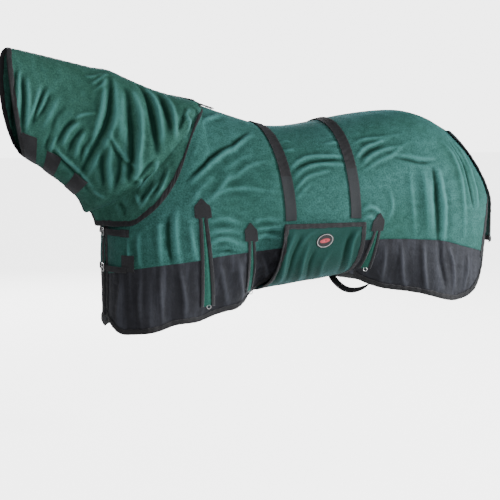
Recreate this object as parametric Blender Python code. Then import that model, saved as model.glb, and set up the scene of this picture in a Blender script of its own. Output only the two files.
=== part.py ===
"""Mesh turnout rug with a joined neck cover, belly wrap and tail flap.

Standalone Blender 4.5 script. Metres, +Z up. The origin is the spine seam at the withers,
+X runs back to the tail and -Y is the wearer's left. Every cloth piece is a thin closed sheet
laid on one shared surface: columns run down from the spine or the neck opening to the hem.
"""
import math

import bmesh
import bpy
from mathutils import Matrix, Vector

# ---------------------------------------------------------------- driving dimensions (metres)
CHEST_X = -0.508          # foremost point of the chest
BARREL_HALF = 0.31        # half width at the withers
RUMP_X = 0.85             # where the columns start to fan round the rump
RUMP_LENGTH = 0.513       # rump fan, front to back
RUMP_HALF = 0.32          # half width there
FRONT_FAN = 0.65          # column lengths given to the chest fan and to the rump fan
REAR_FAN = 0.60
CHEST_POWER = 2.6         # squareness of the chest seen from above
SPINE_LEAD = 0.10         # share of the chest fan that starts on the spine seam
NECK_HOLE_TOP = (-0.090, 0.030)     # X and Z of the neck opening on the spine
NECK_HOLE_FRONT = (-0.495, -0.440)  # X and Z of the neck opening at the chest
NECK_HOLE_HALF = 0.20

CLOTH = 0.0015            # sheet thickness in the model
TAPE = 0.0014             # binding and tape thickness
WEB = 0.0020              # webbing thickness
LIFT_TAPE = 0.0039        # heights above the base surface: tapes, straps, top layers
LIFT_STRAP = 0.0064
LIFT_TOP = 0.0095
BINDING = 0.022           # width of the edge bindings
STRAP_WIDTH = 0.050       # straps over the back
SEAM_GAP = 0.0012         # clear space between panels that are sewn edge to edge

# stations along the rug: (column, value)
TOPLINE = [(0.0, 0.0), (0.148, -0.045), (0.226, -0.064), (0.363, -0.062), (0.557, -0.027),
           (0.70, -0.006), (0.844, 0.005), (0.922, 0.0), (1.028, -0.028), (1.134, -0.080)]
HALF_WIDTH = [(0.0, 0.31), (0.2, 0.325), (0.4, 0.336), (0.6, 0.336), (0.85, 0.32)]
WIDEST = [(-0.65, -0.55), (-0.4, -0.50), (0.0, -0.45), (0.35, -0.43), (0.85, -0.45), (1.45, -0.42)]
ROUNDNESS = [(-0.65, 1.3), (-0.25, 1.3), (-0.12, 1.5), (0.0, 1.75), (0.3, 2.0), (0.85, 2.1), (1.05, 1.7),
             (1.2, 1.42), (1.45, 1.4)]
TUCK = [(-0.65, 0.0), (-0.3, 0.1), (0.0, 0.6), (0.08, 1.1), (0.15, 1.75), (0.25, 1.6), (0.45, 1.5),
        (0.56, 1.7), (0.66, 1.05), (0.85, 0.3), (1.1, 0.05), (1.45, 0.0)]
SKIRT_LINE = [(-0.65, -0.700), (-0.31, -0.655), (-0.12, -0.632), (0.011, -0.605), (0.09, -0.598),
              (0.35, -0.580), (0.65, -0.563), (0.92, -0.578), (1.05, -0.615), (1.21, -0.652)]
HEM_LINE = [(-0.65, -0.881), (-0.57, -0.919), (-0.50, -0.946), (-0.44, -0.947), (-0.30, -0.933),
            (-0.17, -0.902), (-0.08, -0.892), (0.0, -0.858), (0.09, -0.819), (0.15, -0.777),
            (0.20, -0.720), (0.35, -0.672), (0.52, -0.657), (0.572, -0.664), (0.578, -0.672),
            (0.587, -0.738), (0.60, -0.748),
            (0.66, -0.772), (0.74, -0.793), (0.87, -0.816), (0.99, -0.855), (1.05, -0.854),
            (1.10, -0.832), (1.15, -0.778), (1.185, -0.720), (1.205, -0.672)]
# column where the side panel ends beside the tail, at each depth down the column
REAR_EDGE = [(0.52, 1.45), (0.75, 1.37), (1.0, 1.27), (1.2, 1.205)]
BIB_DROP = [(0.0, 0.012), (0.10, 0.020), (0.16, 0.042), (0.229, 0.071), (0.265, 0.100),
            (0.292, 0.150), (0.312, 0.205), (0.345, 0.250), (0.40, 0.276), (0.455, 0.279),
            (0.522, 0.261), (0.614, 0.221), (0.752, 0.131), (0.90, 0.066), (1.0, 0.055)]

# neck cover: (share of the way to the head, X, Z)
CREST_LINE = [(0.0, -0.090, 0.043), (0.14, -0.211, 0.066), (0.23, -0.280, 0.083),
              (0.36, -0.394, 0.130), (0.48, -0.493, 0.172), (0.58, -0.573, 0.184),
              (0.80, -0.770, 0.229), (1.0, -0.925, 0.262)]
THROAT_LINE = [(0.0, -0.590, -0.458), (0.12, -0.606, -0.415), (0.21, -0.620, -0.380), (0.33, -0.650, -0.345),
               (0.60, -0.738, -0.272), (0.82, -0.806, -0.222), (1.0, -0.862, -0.188)]
NECK_HALF = [(0.0, 0.240), (0.25, 0.175), (0.6, 0.122), (1.0, 0.105)]
FACE_EDGE_BULGE = 0.038   # how far the head-end edge sweeps forward between crest and throat
BIB_OFFSET = 0.0104
CHEST_SWELL = 0.082       # the bib stands off the chest by this much at the front

# belly wrap
WRAP_FRONT, WRAP_REAR = 0.187, 0.571
WRAP_SLANT = 0.035        # the front edge runs forward by this much under the belly
WRAP_TOP = -0.485
WRAP_BOTTOM_FRONT, WRAP_BOTTOM_REAR = -0.795, -0.738
WRAP_HALF = 0.352
WRAP_POWER = 2.4
BADGE_CENTRE = (0.381, -0.559)
BADGE_SIZE = (0.080, 0.063)

# straps over the back: column at the spine, column at the side, lowest level
BACK_STRAPS = {"front": (0.187, 0.226, -0.470), "rear": (0.502, 0.530, -0.466)}
# gussets: column at the tip, column at the foot, tip level, tab length, foot level
GUSSETS = [(-0.106, -0.070, -0.368, 0.080, -0.834),
           (0.041, 0.078, -0.474, 0.078, -0.783),
           (0.645, 0.616, -0.446, 0.078, -0.698)]
GUSSET_HALF_TOP, GUSSET_HALF_FOOT = 0.006, 0.020
GUSSET_TAPE = 0.012
TAB_HALF = 0.029

TAIL_HINGE = (1.150, -0.088)
FLAP_FOOT = -0.610        # level of the tail flap's lower edge
FLAP_HALF_TOP, FLAP_HALF_FOOT = 0.045, 0.150
CHEST_LEVELS = {"upper": -0.516, "lower": -0.672}
CHEST_WEB = 0.025
# patches: half height, how far above the strap, and their share of the chest fan
CHEST_PATCHES = {"upper": (0.016, 0.0, 0.665, 0.76), "lower": (0.035, 0.028, 0.62, 0.745)}
BUCKLE = (0.034, 0.036, 0.003)   # width across the chest, height, wire
THROAT_TABS = ((0.37, 0.795), (0.66, 0.755), (0.892, 0.705))   # along the throat, upper end
RING_RADIUS, RING_WIRE = 0.009, 0.0016
THROAT_TAB_HALF = 0.068

GREEN = (0.045, 0.165, 0.115)
BLACK = (0.020, 0.019, 0.024)
WEBBING = (0.030, 0.030, 0.036)
STEEL = (0.62, 0.62, 0.60)


# ---------------------------------------------------------------- small helpers
def smooth(stations, x):
    """Cubic curve through (x, value) stations, flat beyond both ends."""
    if x <= stations[0][0]:
        return stations[0][1]
    if x >= stations[-1][0]:
        return stations[-1][1]
    count = len(stations)
    i = next(k for k in range(count - 1) if x <= stations[k + 1][0])

    def slope(k):
        low, high = max(k - 1, 0), min(k + 1, count - 1)
        return (stations[high][1] - stations[low][1]) / (stations[high][0] - stations[low][0])

    (x0, y0), (x1, y1) = stations[i], stations[i + 1]
    span = x1 - x0
    f = (x - x0) / span
    return ((2 * f ** 3 - 3 * f ** 2 + 1) * y0 + (f ** 3 - 2 * f ** 2 + f) * span * slope(i)
            + (3 * f ** 2 - 2 * f ** 3) * y1 + (f ** 3 - f ** 2) * span * slope(i + 1))


def spread(low, high, steps):
    return [low + (high - low) * i / steps for i in range(steps + 1)]


def material(name, colour, rough=0.8, metal=0.0):
    mat = bpy.data.materials.new(name)
    mat.use_nodes = True
    shader = mat.node_tree.nodes["Principled BSDF"]
    shader.inputs["Base Color"].default_value = (*colour, 1.0)
    shader.inputs["Roughness"].default_value = rough
    shader.inputs["Metallic"].default_value = metal
    return mat


def body_core(point):
    """The middle of the space inside the body of the rug, nearest to a point."""
    return Vector((min(max(point.x, -0.25), 1.05), 0.0, -0.35))


def neck_core(point):
    """The same for the neck cover: a point on the middle line of the neck."""
    f = min(max((-0.25 - point.x) / 0.67, 0.0), 1.0)
    return Vector((point.x, 0.0, -0.14 + 0.19 * f))


def add_object(name, bm, colour, rough=0.8, metal=0.0):
    mesh = bpy.data.meshes.new(name)
    bm.to_mesh(mesh)
    bm.free()
    obj = bpy.data.objects.new(name, mesh)
    bpy.context.scene.collection.objects.link(obj)
    mesh.materials.append(material(name + "_finish", colour, rough, metal))
    return obj


def sheet(name, rows, thickness, colour, rough=0.8, keep=None, core=body_core):
    """A closed sheet: a grid of points given a wall outwards with Solidify.

    keep(i, j) says which cells of the grid are cloth; without it they all are. core gives the
    middle of the space behind the sheet.
    """
    bm = bmesh.new()
    grid = [[bm.verts.new(point) for point in row] for row in rows]
    outward = 0.0
    for i, (upper, lower) in enumerate(zip(grid, grid[1:])):
        for j in range(len(upper) - 1):
            if keep and not keep(i, j):
                continue
            face = bm.faces.new((upper[j], lower[j], lower[j + 1], upper[j + 1]))
            face.normal_update()
            middle = face.calc_center_median()
            outward += face.normal.dot(middle - core(middle)) * face.calc_area()
    bmesh.ops.delete(bm, geom=[v for v in bm.verts if not v.link_faces], context="VERTS")
    if outward < 0.0:
        bmesh.ops.reverse_faces(bm, faces=bm.faces[:])
    obj = add_object(name, bm, colour, rough)
    wall = obj.modifiers.new("Wall", "SOLIDIFY")
    wall.thickness = thickness
    wall.offset = 1.0
    return obj


def move_origin(obj, point):
    obj.data.transform(Matrix.Translation(-Vector(point)))
    obj.location = point


# ---------------------------------------------------------------- the shared body surface
def column(s):
    """Top point, widest point, roundness and tuck of the column at s, wearer's right side."""
    if s < 0.0:
        u = min(-s / FRONT_FAN, 1.0)
        turn = math.radians(90.0 * u)
        side_x = CHEST_X * math.sin(turn) ** (2 / CHEST_POWER)
        side_y = BARREL_HALF * max(math.cos(turn), 0.0) ** (2 / CHEST_POWER)
        if u < SPINE_LEAD:
            top = Vector((NECK_HOLE_TOP[0] * u / SPINE_LEAD, 0.0, NECK_HOLE_TOP[1] * u / SPINE_LEAD))
        else:
            top = neck_hole(math.radians(90.0 * (u - SPINE_LEAD) / (1 - SPINE_LEAD)))
    elif s <= RUMP_X:
        side_x, side_y = s, smooth(HALF_WIDTH, s)
        top = Vector((s, 0.0, smooth(TOPLINE, s)))
    else:
        r = min((s - RUMP_X) / REAR_FAN, 1.0)
        turn = math.radians(90.0 * r)
        side_x = RUMP_X + RUMP_LENGTH * math.sin(turn)
        side_y = RUMP_HALF * max(math.cos(turn), 0.0)
        top_x = RUMP_X + (TAIL_HINGE[0] - 0.02 - RUMP_X) * math.sin(turn)
        top = Vector((top_x, 0.0, smooth(TOPLINE, top_x)))
    side = Vector((side_x, side_y, smooth(WIDEST, s)))
    return top, side, smooth(ROUNDNESS, s), smooth(TUCK, s)


def neck_hole(turn):
    share = math.sin(turn) ** 2
    x = NECK_HOLE_TOP[0] + (NECK_HOLE_FRONT[0] - NECK_HOLE_TOP[0]) * share
    z = NECK_HOLE_TOP[1] + (NECK_HOLE_FRONT[1] - NECK_HOLE_TOP[1]) * share
    return Vector((x, NECK_HOLE_HALF * neck_round(turn), z))


def neck_round(turn):
    """Half width of the neck across the sweep from crest to throat, flatter towards the throat."""
    return max(math.sin(2 * turn), 0.0) ** (0.8 + 0.45 * math.sin(turn) ** 2)


def raw_point(s, t):
    """t runs 0 to 1 from the top to the widest level, then counts metres below it."""
    top, side, power, tuck = column(s)
    bend = math.radians(90.0 * min(t, 1.0))
    across = math.sin(bend) ** (2 / power)
    down = 1.0 - max(math.cos(bend), 0.0) ** (2 / power)
    point = Vector((top.x + (side.x - top.x) * across, top.y + (side.y - top.y) * across,
                    top.z + (side.z - top.z) * down))
    if t > 1.0:
        depth = t - 1.0
        inward = body_core(side) - side
        inward.z = 0.0
        if inward.length > 0.0:
            point += inward.normalized() * tuck * depth * depth
        point.z -= depth
    return point


def at_level(s, z):
    """The t where column s reaches height z."""
    top, side, power, _ = column(s)
    fall = (top.z - z) / (top.z - side.z)
    if fall >= 1.0:
        return 1.0 + side.z - z
    return math.degrees(math.acos(max(1.0 - fall, 0.0) ** (power / 2))) / 90.0


def body_point(s, t, sign, lift=0.0):
    """A point on the body surface; sign -1 is the wearer's left, +1 the right."""
    step = 0.012
    near = max(t, 0.03 + 0.15 * min(max(-s - 0.1, 0.0) / 0.1, 1.0))
    low = max(near - step, 0.0)
    along = raw_point(s + step, near) - raw_point(s - step, near)
    downward = raw_point(s, near + step) - raw_point(s, low)
    normal = along.cross(downward).normalized()
    point = raw_point(s, t)
    if normal.dot(point - body_core(point)) < 0.0:
        normal = -normal
    if t < 0.03 and abs(point.y) < 1e-6:
        normal.y = 0.0
        normal.normalize()
    if s < -FRONT_FAN + step or s > RUMP_X + REAR_FAN - step:
        normal.y = 0.0
        normal.normalize()
    point += normal * lift
    return Vector((point.x, point.y * sign, point.z))


# ---------------------------------------------------------------- body and skirt
def side_columns():
    """Column names from the chest to the rear edge; the last share of them leans with that edge."""
    front = [-u * FRONT_FAN for u in (1.0, 0.92, 0.84, 0.75, 0.66, 0.57, 0.48, 0.39, 0.30, 0.21)]
    middle = [-0.08] + spread(0.0, 0.16, 3) + spread(0.22, 0.52, 5)
    under_wrap = [0.556, 0.577, 0.587, 0.61, 0.64, 0.69, 0.76]
    rear = spread(RUMP_X, RUMP_X + REAR_FAN, 9)
    return front + middle + under_wrap + rear


def lean(name, t):
    """The column s that a column name stands for at depth t."""
    if name <= RUMP_X:
        return name
    return RUMP_X + (name - RUMP_X) * (smooth(REAR_EDGE, t) - RUMP_X) / REAR_FAN


def seam_t(name):
    s = lean(name, 1.2)
    return at_level(s, smooth(SKIRT_LINE, s))


def hem_t(name):
    s = lean(name, 1.2)
    return at_level(s, smooth(HEM_LINE, s))


def band(columns, top_t, bottom_t, steps, sign, lift=0.0):
    """Rows of points between two t limits, each a function of the column name."""
    rows = []
    for i in range(steps + 1):
        row = []
        for name in columns:
            t = top_t(name) + (bottom_t(name) - top_t(name)) * i / steps
            row.append(body_point(lean(name, t), t, sign, lift))
        rows.append(row)
    return rows


def clear_of_middle(rows, sign):
    """Keeps a small gap between left and right pieces on the centre line."""
    for row in rows:
        for point in row:
            if point.y * sign < SEAM_GAP / 2:
                point.y = sign * SEAM_GAP / 2
    return rows


def hem_inner_t(name):
    """Where the hem binding starts, wider where the hem runs steeply."""
    step = 0.01
    slope = (smooth(HEM_LINE, lean(name, 1.2) + step) - smooth(HEM_LINE, lean(name, 1.2) - step)) / (2 * step)
    wide = BINDING * min(math.hypot(1.0, slope), 1.25)
    return max(hem_t(name) - wide, seam_t(name) + SEAM_GAP)


def build_side(side, sign):
    columns = side_columns()
    body = band(columns, lambda name: 0.0, seam_t, 11, sign)
    sheet(f"body_panel_{side}", clear_of_middle(body, sign), CLOTH, GREEN)
    skirt = band(columns, lambda name: seam_t(name) + SEAM_GAP, hem_t, 3, sign)
    sheet(f"skirt_panel_{side}", clear_of_middle(skirt, sign), CLOTH, BLACK)
    hem = band(columns, hem_inner_t, lambda name: hem_t(name) + 0.002, 1, sign, LIFT_TAPE)
    sheet(f"hem_binding_{side}", clear_of_middle(hem, sign), TAPE, BLACK)

    outer = -FRONT_FAN
    stops = spread(0.30, hem_t(outer) - BINDING - 0.006, 10)
    front = [[body_point(s, t, sign, LIFT_TAPE) for s in (outer, outer + BINDING)] for t in stops]
    sheet(f"front_binding_{side}", clear_of_middle(front, sign), TAPE, BLACK)

    last = RUMP_X + REAR_FAN
    stops = spread(REAR_EDGE[0][0] + 0.04, seam_t(last) - 0.002, 9)
    rear = []
    for t in stops:
        edge = smooth(REAR_EDGE, t)
        rear.append([body_point(s, t, sign, LIFT_TAPE) for s in (edge - BINDING * 1.6, edge)])
    sheet(f"rear_binding_{side}", clear_of_middle(rear, sign), TAPE, BLACK)


# ---------------------------------------------------------------- gussets
def gusset_place(gusset, z):
    tip_s, foot_s, tip_z, _, foot_z = gusset
    f = (tip_z - z) / (tip_z - foot_z)
    return tip_s + (foot_s - tip_s) * f, GUSSET_HALF_TOP + (GUSSET_HALF_FOOT - GUSSET_HALF_TOP) * f


def build_gusset(side, sign, number, gusset):
    _, _, tip_z, tab, foot_z = gusset
    name = f"{side}_{number}"

    def point(z, offset, lift):
        s, _ = gusset_place(gusset, z)
        return body_point(s + offset, at_level(s + offset, z), sign, lift)

    insert_rows = []
    for z in spread(tip_z - tab * 0.6, foot_z, 6):
        _, half = gusset_place(gusset, z)
        insert_rows.append([point(z, offset, LIFT_TAPE) for offset in (-half, 0.0, half)])
    sheet(f"gusset_insert_{name}", insert_rows, CLOTH, GREEN)

    # the arrowhead tab and the two tapes below it are one sewn piece
    lift = LIFT_STRAP + 0.0006
    tab_levels = [(tip_z, 0.0015), (tip_z - tab * 0.30, TAB_HALF * 0.62), (tip_z - tab, TAB_HALF)]
    rows = []
    for z, half in tab_levels:
        rows.append([point(z, part * half, lift) for part in (-1.0, -0.35, 0.35, 1.0)])
    for z in spread(tip_z - tab, foot_z + 0.001, 6)[1:]:
        _, half = gusset_place(gusset, z)
        outer, inner = half + GUSSET_TAPE / 2, half - GUSSET_TAPE / 2
        rows.append([point(z, offset, lift) for offset in (-outer, -inner, inner, outer)])
    last_tab_row = len(tab_levels) - 1
    sheet(f"gusset_tape_{name}", rows, TAPE, BLACK, keep=lambda i, j: i < last_tab_row or j != 1)

    centre = point(foot_z + 0.012, 0.0, LIFT_TOP + 0.006)
    build_ring(f"gusset_ring_{name}", centre, sign)


def build_ring(name, top, sign):
    """A small ring hanging from its topmost point, in a vertical plane along the hem."""
    bm = bmesh.new()
    segments, sides = 14, 5
    loops = []
    for i in range(segments):
        turn = 2 * math.pi * i / segments
        loop = []
        for j in range(sides):
            around = 2 * math.pi * j / sides
            reach = RING_RADIUS + RING_WIRE * math.cos(around)
            loop.append(bm.verts.new((reach * math.sin(turn), RING_WIRE * math.sin(around),
                                      reach * math.cos(turn) - RING_RADIUS)))
        loops.append(loop)
    for i in range(segments):
        a, b = loops[i], loops[(i + 1) % segments]
        for j in range(sides):
            k = (j + 1) % sides
            bm.faces.new((a[j], a[k], b[k], b[j]))
    bmesh.ops.recalc_face_normals(bm, faces=bm.faces[:])
    obj = add_object(name, bm, STEEL, 0.25, 1.0)
    obj.location = top
    return obj


# ---------------------------------------------------------------- straps over the back
def build_back_strap(name, spine_s, side_s, low_z):
    half = STRAP_WIDTH / 2
    bottom = at_level(side_s, low_z)
    stops = spread(0.0, bottom, 12)
    rows = []
    for sign in (-1, 1):
        run = list(reversed(stops)) if sign < 0 else stops[1:]
        for t in run:
            s = spine_s + (side_s - spine_s) * t / bottom
            rows.append([body_point(s + offset, t, sign, LIFT_STRAP) for offset in (-half, half)])
    sheet(name, rows, WEB, WEBBING, 0.7)


# ---------------------------------------------------------------- belly wrap
def wrap_point(x, turn, lift=0.0):
    """turn runs 0 at the left top edge, 90 under the belly, 180 at the right top edge."""
    f = (x - WRAP_FRONT) / (WRAP_REAR - WRAP_FRONT)
    depth = -(WRAP_BOTTOM_FRONT + (WRAP_BOTTOM_REAR - WRAP_BOTTOM_FRONT) * f) + WRAP_TOP
    angle = math.radians(turn)
    cosine, sine = math.cos(angle), max(math.sin(angle), 0.0)
    reach = WRAP_HALF + lift
    y = -math.copysign(abs(cosine) ** (2 / WRAP_POWER), cosine) * reach
    x -= WRAP_SLANT * (1.0 - f) * sine
    return Vector((x, y, WRAP_TOP - (depth + lift) * sine ** (2 / WRAP_POWER)))


def wrap_turns():
    return spread(0.0, 12.0, 3) + spread(20.0, 160.0, 16) + spread(168.0, 180.0, 3)


def build_belly_wrap():
    xs = spread(WRAP_FRONT, WRAP_REAR, 4)
    rows = [[wrap_point(x, turn) for x in xs] for turn in wrap_turns()]
    sheet("belly_wrap_panel", rows, CLOTH, GREEN)

    # one binding runs round all four edges
    across = [WRAP_FRONT - 0.002] + spread(WRAP_FRONT + BINDING, WRAP_REAR - BINDING, 2) + [WRAP_REAR + 0.002]
    turns = wrap_turns()
    turns[1], turns[-2] = 2.0, 178.0
    rows = [[wrap_point(x, turn, LIFT_TAPE) for x in across] for turn in turns]
    last_row, last_column = len(turns) - 2, len(across) - 2
    sheet("belly_wrap_binding", rows, TAPE, BLACK,
          keep=lambda i, j: i in (0, last_row) or j in (0, last_column))

    bm = bmesh.new()
    bmesh.ops.create_cone(bm, cap_ends=True, segments=40, radius1=0.5, radius2=0.5, depth=TAPE)
    middle = wrap_at(*BADGE_CENTRE, LIFT_TAPE + 0.002)
    above = wrap_at(BADGE_CENTRE[0], BADGE_CENTRE[1] + 0.01, LIFT_TAPE + 0.002)
    upward = (above - middle).normalized()
    along = Vector((1.0, 0.0, 0.0))
    outward = along.cross(upward)
    frame = Matrix((along, upward, outward)).transposed().to_4x4()
    lean = Matrix.Rotation(math.radians(8.0), 4, "Z")
    size = Matrix.Diagonal((BADGE_SIZE[0], BADGE_SIZE[1], 1.0, 1.0))
    bm.transform(Matrix.Translation(middle) @ frame @ lean @ size)
    add_object("belly_wrap_badge", bm, BLACK, 0.6)


def wrap_at(x, z, lift):
    """The point of the left side of the wrap at height z."""
    low, high = 0.0, 90.0
    for _ in range(40):
        turn = (low + high) / 2
        if wrap_point(x, turn, lift).z > z:
            low = turn
        else:
            high = turn
    return wrap_point(x, turn, lift)


def build_belly_strap():
    """Webbing that hangs slack under the belly behind the wrap, from hem to hem."""
    rows = []
    for i in range(17):
        f = i / 16
        y = -0.205 + 0.41 * f
        z = -0.772 - 0.050 * math.sin(math.pi * f) ** 0.8
        x = 0.665 - 0.010 * math.sin(math.pi * f)
        rows.append([Vector((x - 0.0125, y, z)), Vector((x + 0.0125, y, z))])
    sheet("belly_strap", rows, WEB, WEBBING, 0.7)


# ---------------------------------------------------------------- neck cover
def on_line(line, k):
    xs = [(share, x) for share, x, _ in line]
    zs = [(share, z) for share, _, z in line]
    return smooth(xs, k), smooth(zs, k)


def neck_raw(u, k):
    """k from 0 at the neck opening to 1 at the head end; u from 0 crest to 1 throat."""
    turn = math.radians(90.0 * max(u - SPINE_LEAD, 0.0) / (1 - SPINE_LEAD))
    share = math.sin(turn) ** 2
    bulge = neck_round(turn)
    crest, throat = on_line(CREST_LINE, k), on_line(THROAT_LINE, k)
    x = crest[0] + (throat[0] - crest[0]) * share - FACE_EDGE_BULGE * bulge * k * k
    z = crest[1] + (throat[1] - crest[1]) * share
    return Vector((x, smooth(NECK_HALF, k) * bulge, z))


def neck_point(u, k, sign, lift=0.0):
    """k below 0 runs down the bib that lies over the body, -1 at its edge."""
    if k < 0.0:
        s = -u * FRONT_FAN
        top_z = column(s)[0].z
        edge_t = at_level(s, top_z - smooth(BIB_DROP, u))
        swell = CHEST_SWELL * max((u - 0.55) / 0.45, 0.0) ** 2 * (1.0 + 0.60 * k)
        return body_point(s, -k * edge_t, sign, BIB_OFFSET + swell + lift)
    step = 0.01
    along = neck_raw(u, min(k + step, 1.0)) - neck_raw(u, max(k - step, 0.0))
    around = neck_raw(min(u + step, 1.0), k) - neck_raw(max(u - step, 0.0), k)
    if u < SPINE_LEAD + step or u > 1.0 - step:
        around = Vector((0.0, 1.0, 0.0))
    normal = along.cross(around).normalized()
    point = neck_raw(u, k)
    if normal.dot(point - neck_core(point)) < 0.0:
        normal = -normal
    blend = max(1.0 - k / 0.06, 0.0)
    hole = body_point(-u * FRONT_FAN, 0.0, 1, BIB_OFFSET + CHEST_SWELL * max((u - 0.55) / 0.45, 0.0) ** 2)
    point = point.lerp(hole, blend * blend)
    point += normal * lift
    return Vector((point.x, point.y * sign, point.z))


def neck_us():
    return ([SPINE_LEAD, 0.13, 0.17, 0.21, 0.25, 0.28, 0.305, 0.34, 0.40] + spread(0.47, 0.89, 6)
            + [0.96, 1.0])


NECK_ROWS = [-1.0, -0.8, -0.6, -0.4, -0.2, 0.0, 0.035] + spread(0.085, 1.0, 11)


def build_neck_cover(side, sign):
    rows = [[neck_point(u, k, sign) for u in neck_us()] for k in NECK_ROWS]
    sheet(f"neck_cover_{side}", clear_of_middle(rows, sign), CLOTH, GREEN, core=neck_core)
    rows = [[], []]
    for u in neck_us()[4:]:
        length = (neck_point(u, -1.0, sign) - neck_point(u, -0.2, sign)).length / 0.8
        for row, k in zip(rows, (-1.0, -1.0 + min(BINDING / length, 0.45))):
            row.append(neck_point(u, k, sign, LIFT_TAPE))
    sheet(f"bib_binding_{side}", clear_of_middle(rows, sign), TAPE, BLACK)


def build_throat_binding(side, sign):
    """Bound front edge of the neck cover, from below the tabs to the neck opening."""
    rows = []
    for k in NECK_ROWS[7:10]:
        rows.append([neck_point(u, k, sign, LIFT_STRAP) for u in neck_us()[-2:]])
    sheet(f"throat_binding_{side}", clear_of_middle(rows, sign), TAPE, BLACK, core=neck_core)


def build_neck_trim():
    us = neck_us()[:-1] + [0.985]
    path = [(u, -1) for u in reversed(us)] + [(u, 1) for u in us[1:]]
    rows = [[neck_point(u, k, sign, LIFT_TAPE) for u, sign in path] for k in (0.978, 1.0)]
    sheet("poll_binding", rows, TAPE, BLACK, core=neck_core)
    rows = []
    for k in spread(0.06, 0.965, 14):
        middle = neck_point(SPINE_LEAD, k, 1, LIFT_TAPE)
        rows.append([middle + Vector((0.0, y, 0.0)) for y in (-0.010, 0.0, 0.010)])
    sheet("crest_tape", rows, TAPE, BLACK, core=neck_core)


def build_throat_tab(number, k, upper):
    """A touch-tape tab across the throat and the patch that it closes on."""
    ks = (k - THROAT_TAB_HALF, k, k + THROAT_TAB_HALF)
    rows = [[neck_point(u, kk, -1, LIFT_TAPE) for kk in ks] for u in spread(upper + 0.008, 0.94, 4)]
    sheet(f"throat_patch_{number}", rows, TAPE, BLACK, 0.95, core=neck_core)
    lift = LIFT_STRAP + 0.001
    rows = [[neck_point(u, kk, -1, lift) for kk in ks] for u in spread(upper, 1.0, 6)]
    tab = sheet(f"throat_tab_{number}", clear_of_middle(rows, -1), WEB, BLACK, 0.8, core=neck_core)
    move_origin(tab, rows[-1][1])


# ---------------------------------------------------------------- chest fastening
def chest_run(low_u, high_u, z, half, sign, lift, steps):
    rows = []
    for level in (z + half, z - half):
        rows.append([body_point(-u * FRONT_FAN, at_level(-u * FRONT_FAN, level), sign, lift)
                     for u in spread(low_u, high_u, steps)])
    return rows


def build_chest_fastening(level, z):
    half = CHEST_WEB / 2
    rows = chest_run(0.69, 0.962, z, half, -1, LIFT_TOP, 6)
    sheet(f"chest_strap_{level}", rows, WEB, WEBBING, 0.7)
    left = chest_run(0.955, 1.0, z, half - 0.002, -1, LIFT_STRAP, 1)
    right = chest_run(0.70, 1.0, z, half - 0.002, 1, LIFT_STRAP, 6)
    rows = [a[:-1] + list(reversed(b)) for a, b in zip(left, right)]
    sheet(f"chest_billet_{level}", rows, WEB, WEBBING, 0.7)
    tall, raised, low_u, high_u = CHEST_PATCHES[level]
    rows = chest_run(low_u, high_u, z + raised, tall, -1, LIFT_TAPE, 3)
    sheet(f"chest_patch_{level}", rows, TAPE, BLACK)

    wide, high, wire = BUCKLE
    face_x = CHEST_X - 0.0112 - wire
    bm = bmesh.new()
    bmesh.ops.create_cube(bm, size=1.0)
    bm.transform(Matrix.Translation((face_x, 0.0, z)) @ Matrix.Diagonal((wire, wide, high, 1.0)))
    frame = add_object(f"chest_buckle_{level}", bm, STEEL, 0.3, 1.0)
    hole_bm = bmesh.new()
    bmesh.ops.create_cube(hole_bm, size=1.0)
    hole = Matrix.Diagonal((wire * 3, wide - 2.6 * wire, high - 2.6 * wire, 1.0))
    hole_bm.transform(Matrix.Translation((face_x, 0.0, z)) @ hole)
    cutter = add_object(f"chest_buckle_{level}_hole", hole_bm, STEEL)
    cutter.hide_render = True
    cutter.display_type = "WIRE"
    cut = frame.modifiers.new("Opening", "BOOLEAN")
    cut.operation = "DIFFERENCE"
    cut.object = cutter
    cut.solver = "EXACT"
    round_off = frame.modifiers.new("Rounding", "BEVEL")
    round_off.width = 0.0007
    round_off.segments = 1
    round_off.limit_method = "ANGLE"

    # the prong lies in front of the frame and turns on the frame's left bar
    bm = bmesh.new()
    bmesh.ops.create_cube(bm, size=1.0)
    pin = 0.0022
    reach = wide - wire
    pivot = Vector((face_x - wire / 2 - pin / 2 - 0.0005, -wide / 2 + wire / 2, z))
    bm.transform(Matrix.Translation((0.0, reach / 2, 0.0)) @ Matrix.Diagonal((pin, reach, pin, 1.0)))
    bmesh.ops.bevel(bm, geom=bm.edges[:], offset=0.0006, segments=1, affect="EDGES")
    prong = add_object(f"chest_prong_{level}", bm, STEEL, 0.3, 1.0)
    prong.location = pivot


# ---------------------------------------------------------------- tail flap
def rump_point(y, z, lift):
    """The point of the rump surface at a height and a distance from the centre line."""
    sign = -1 if y < 0.0 else 1
    low, high = RUMP_X, RUMP_X + REAR_FAN
    for _ in range(40):
        s = (low + high) / 2
        if abs(body_point(s, at_level(s, z), sign).y) > abs(y):
            low = s
        else:
            high = s
    return body_point(s, at_level(s, z), sign, lift)


def flap_point(share, z, lift):
    f = (TAIL_HINGE[1] - z) / (TAIL_HINGE[1] - FLAP_FOOT)
    half = FLAP_HALF_TOP + (FLAP_HALF_FOOT - FLAP_HALF_TOP) * f ** 0.7
    return rump_point(share * half, z, lift)


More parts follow.
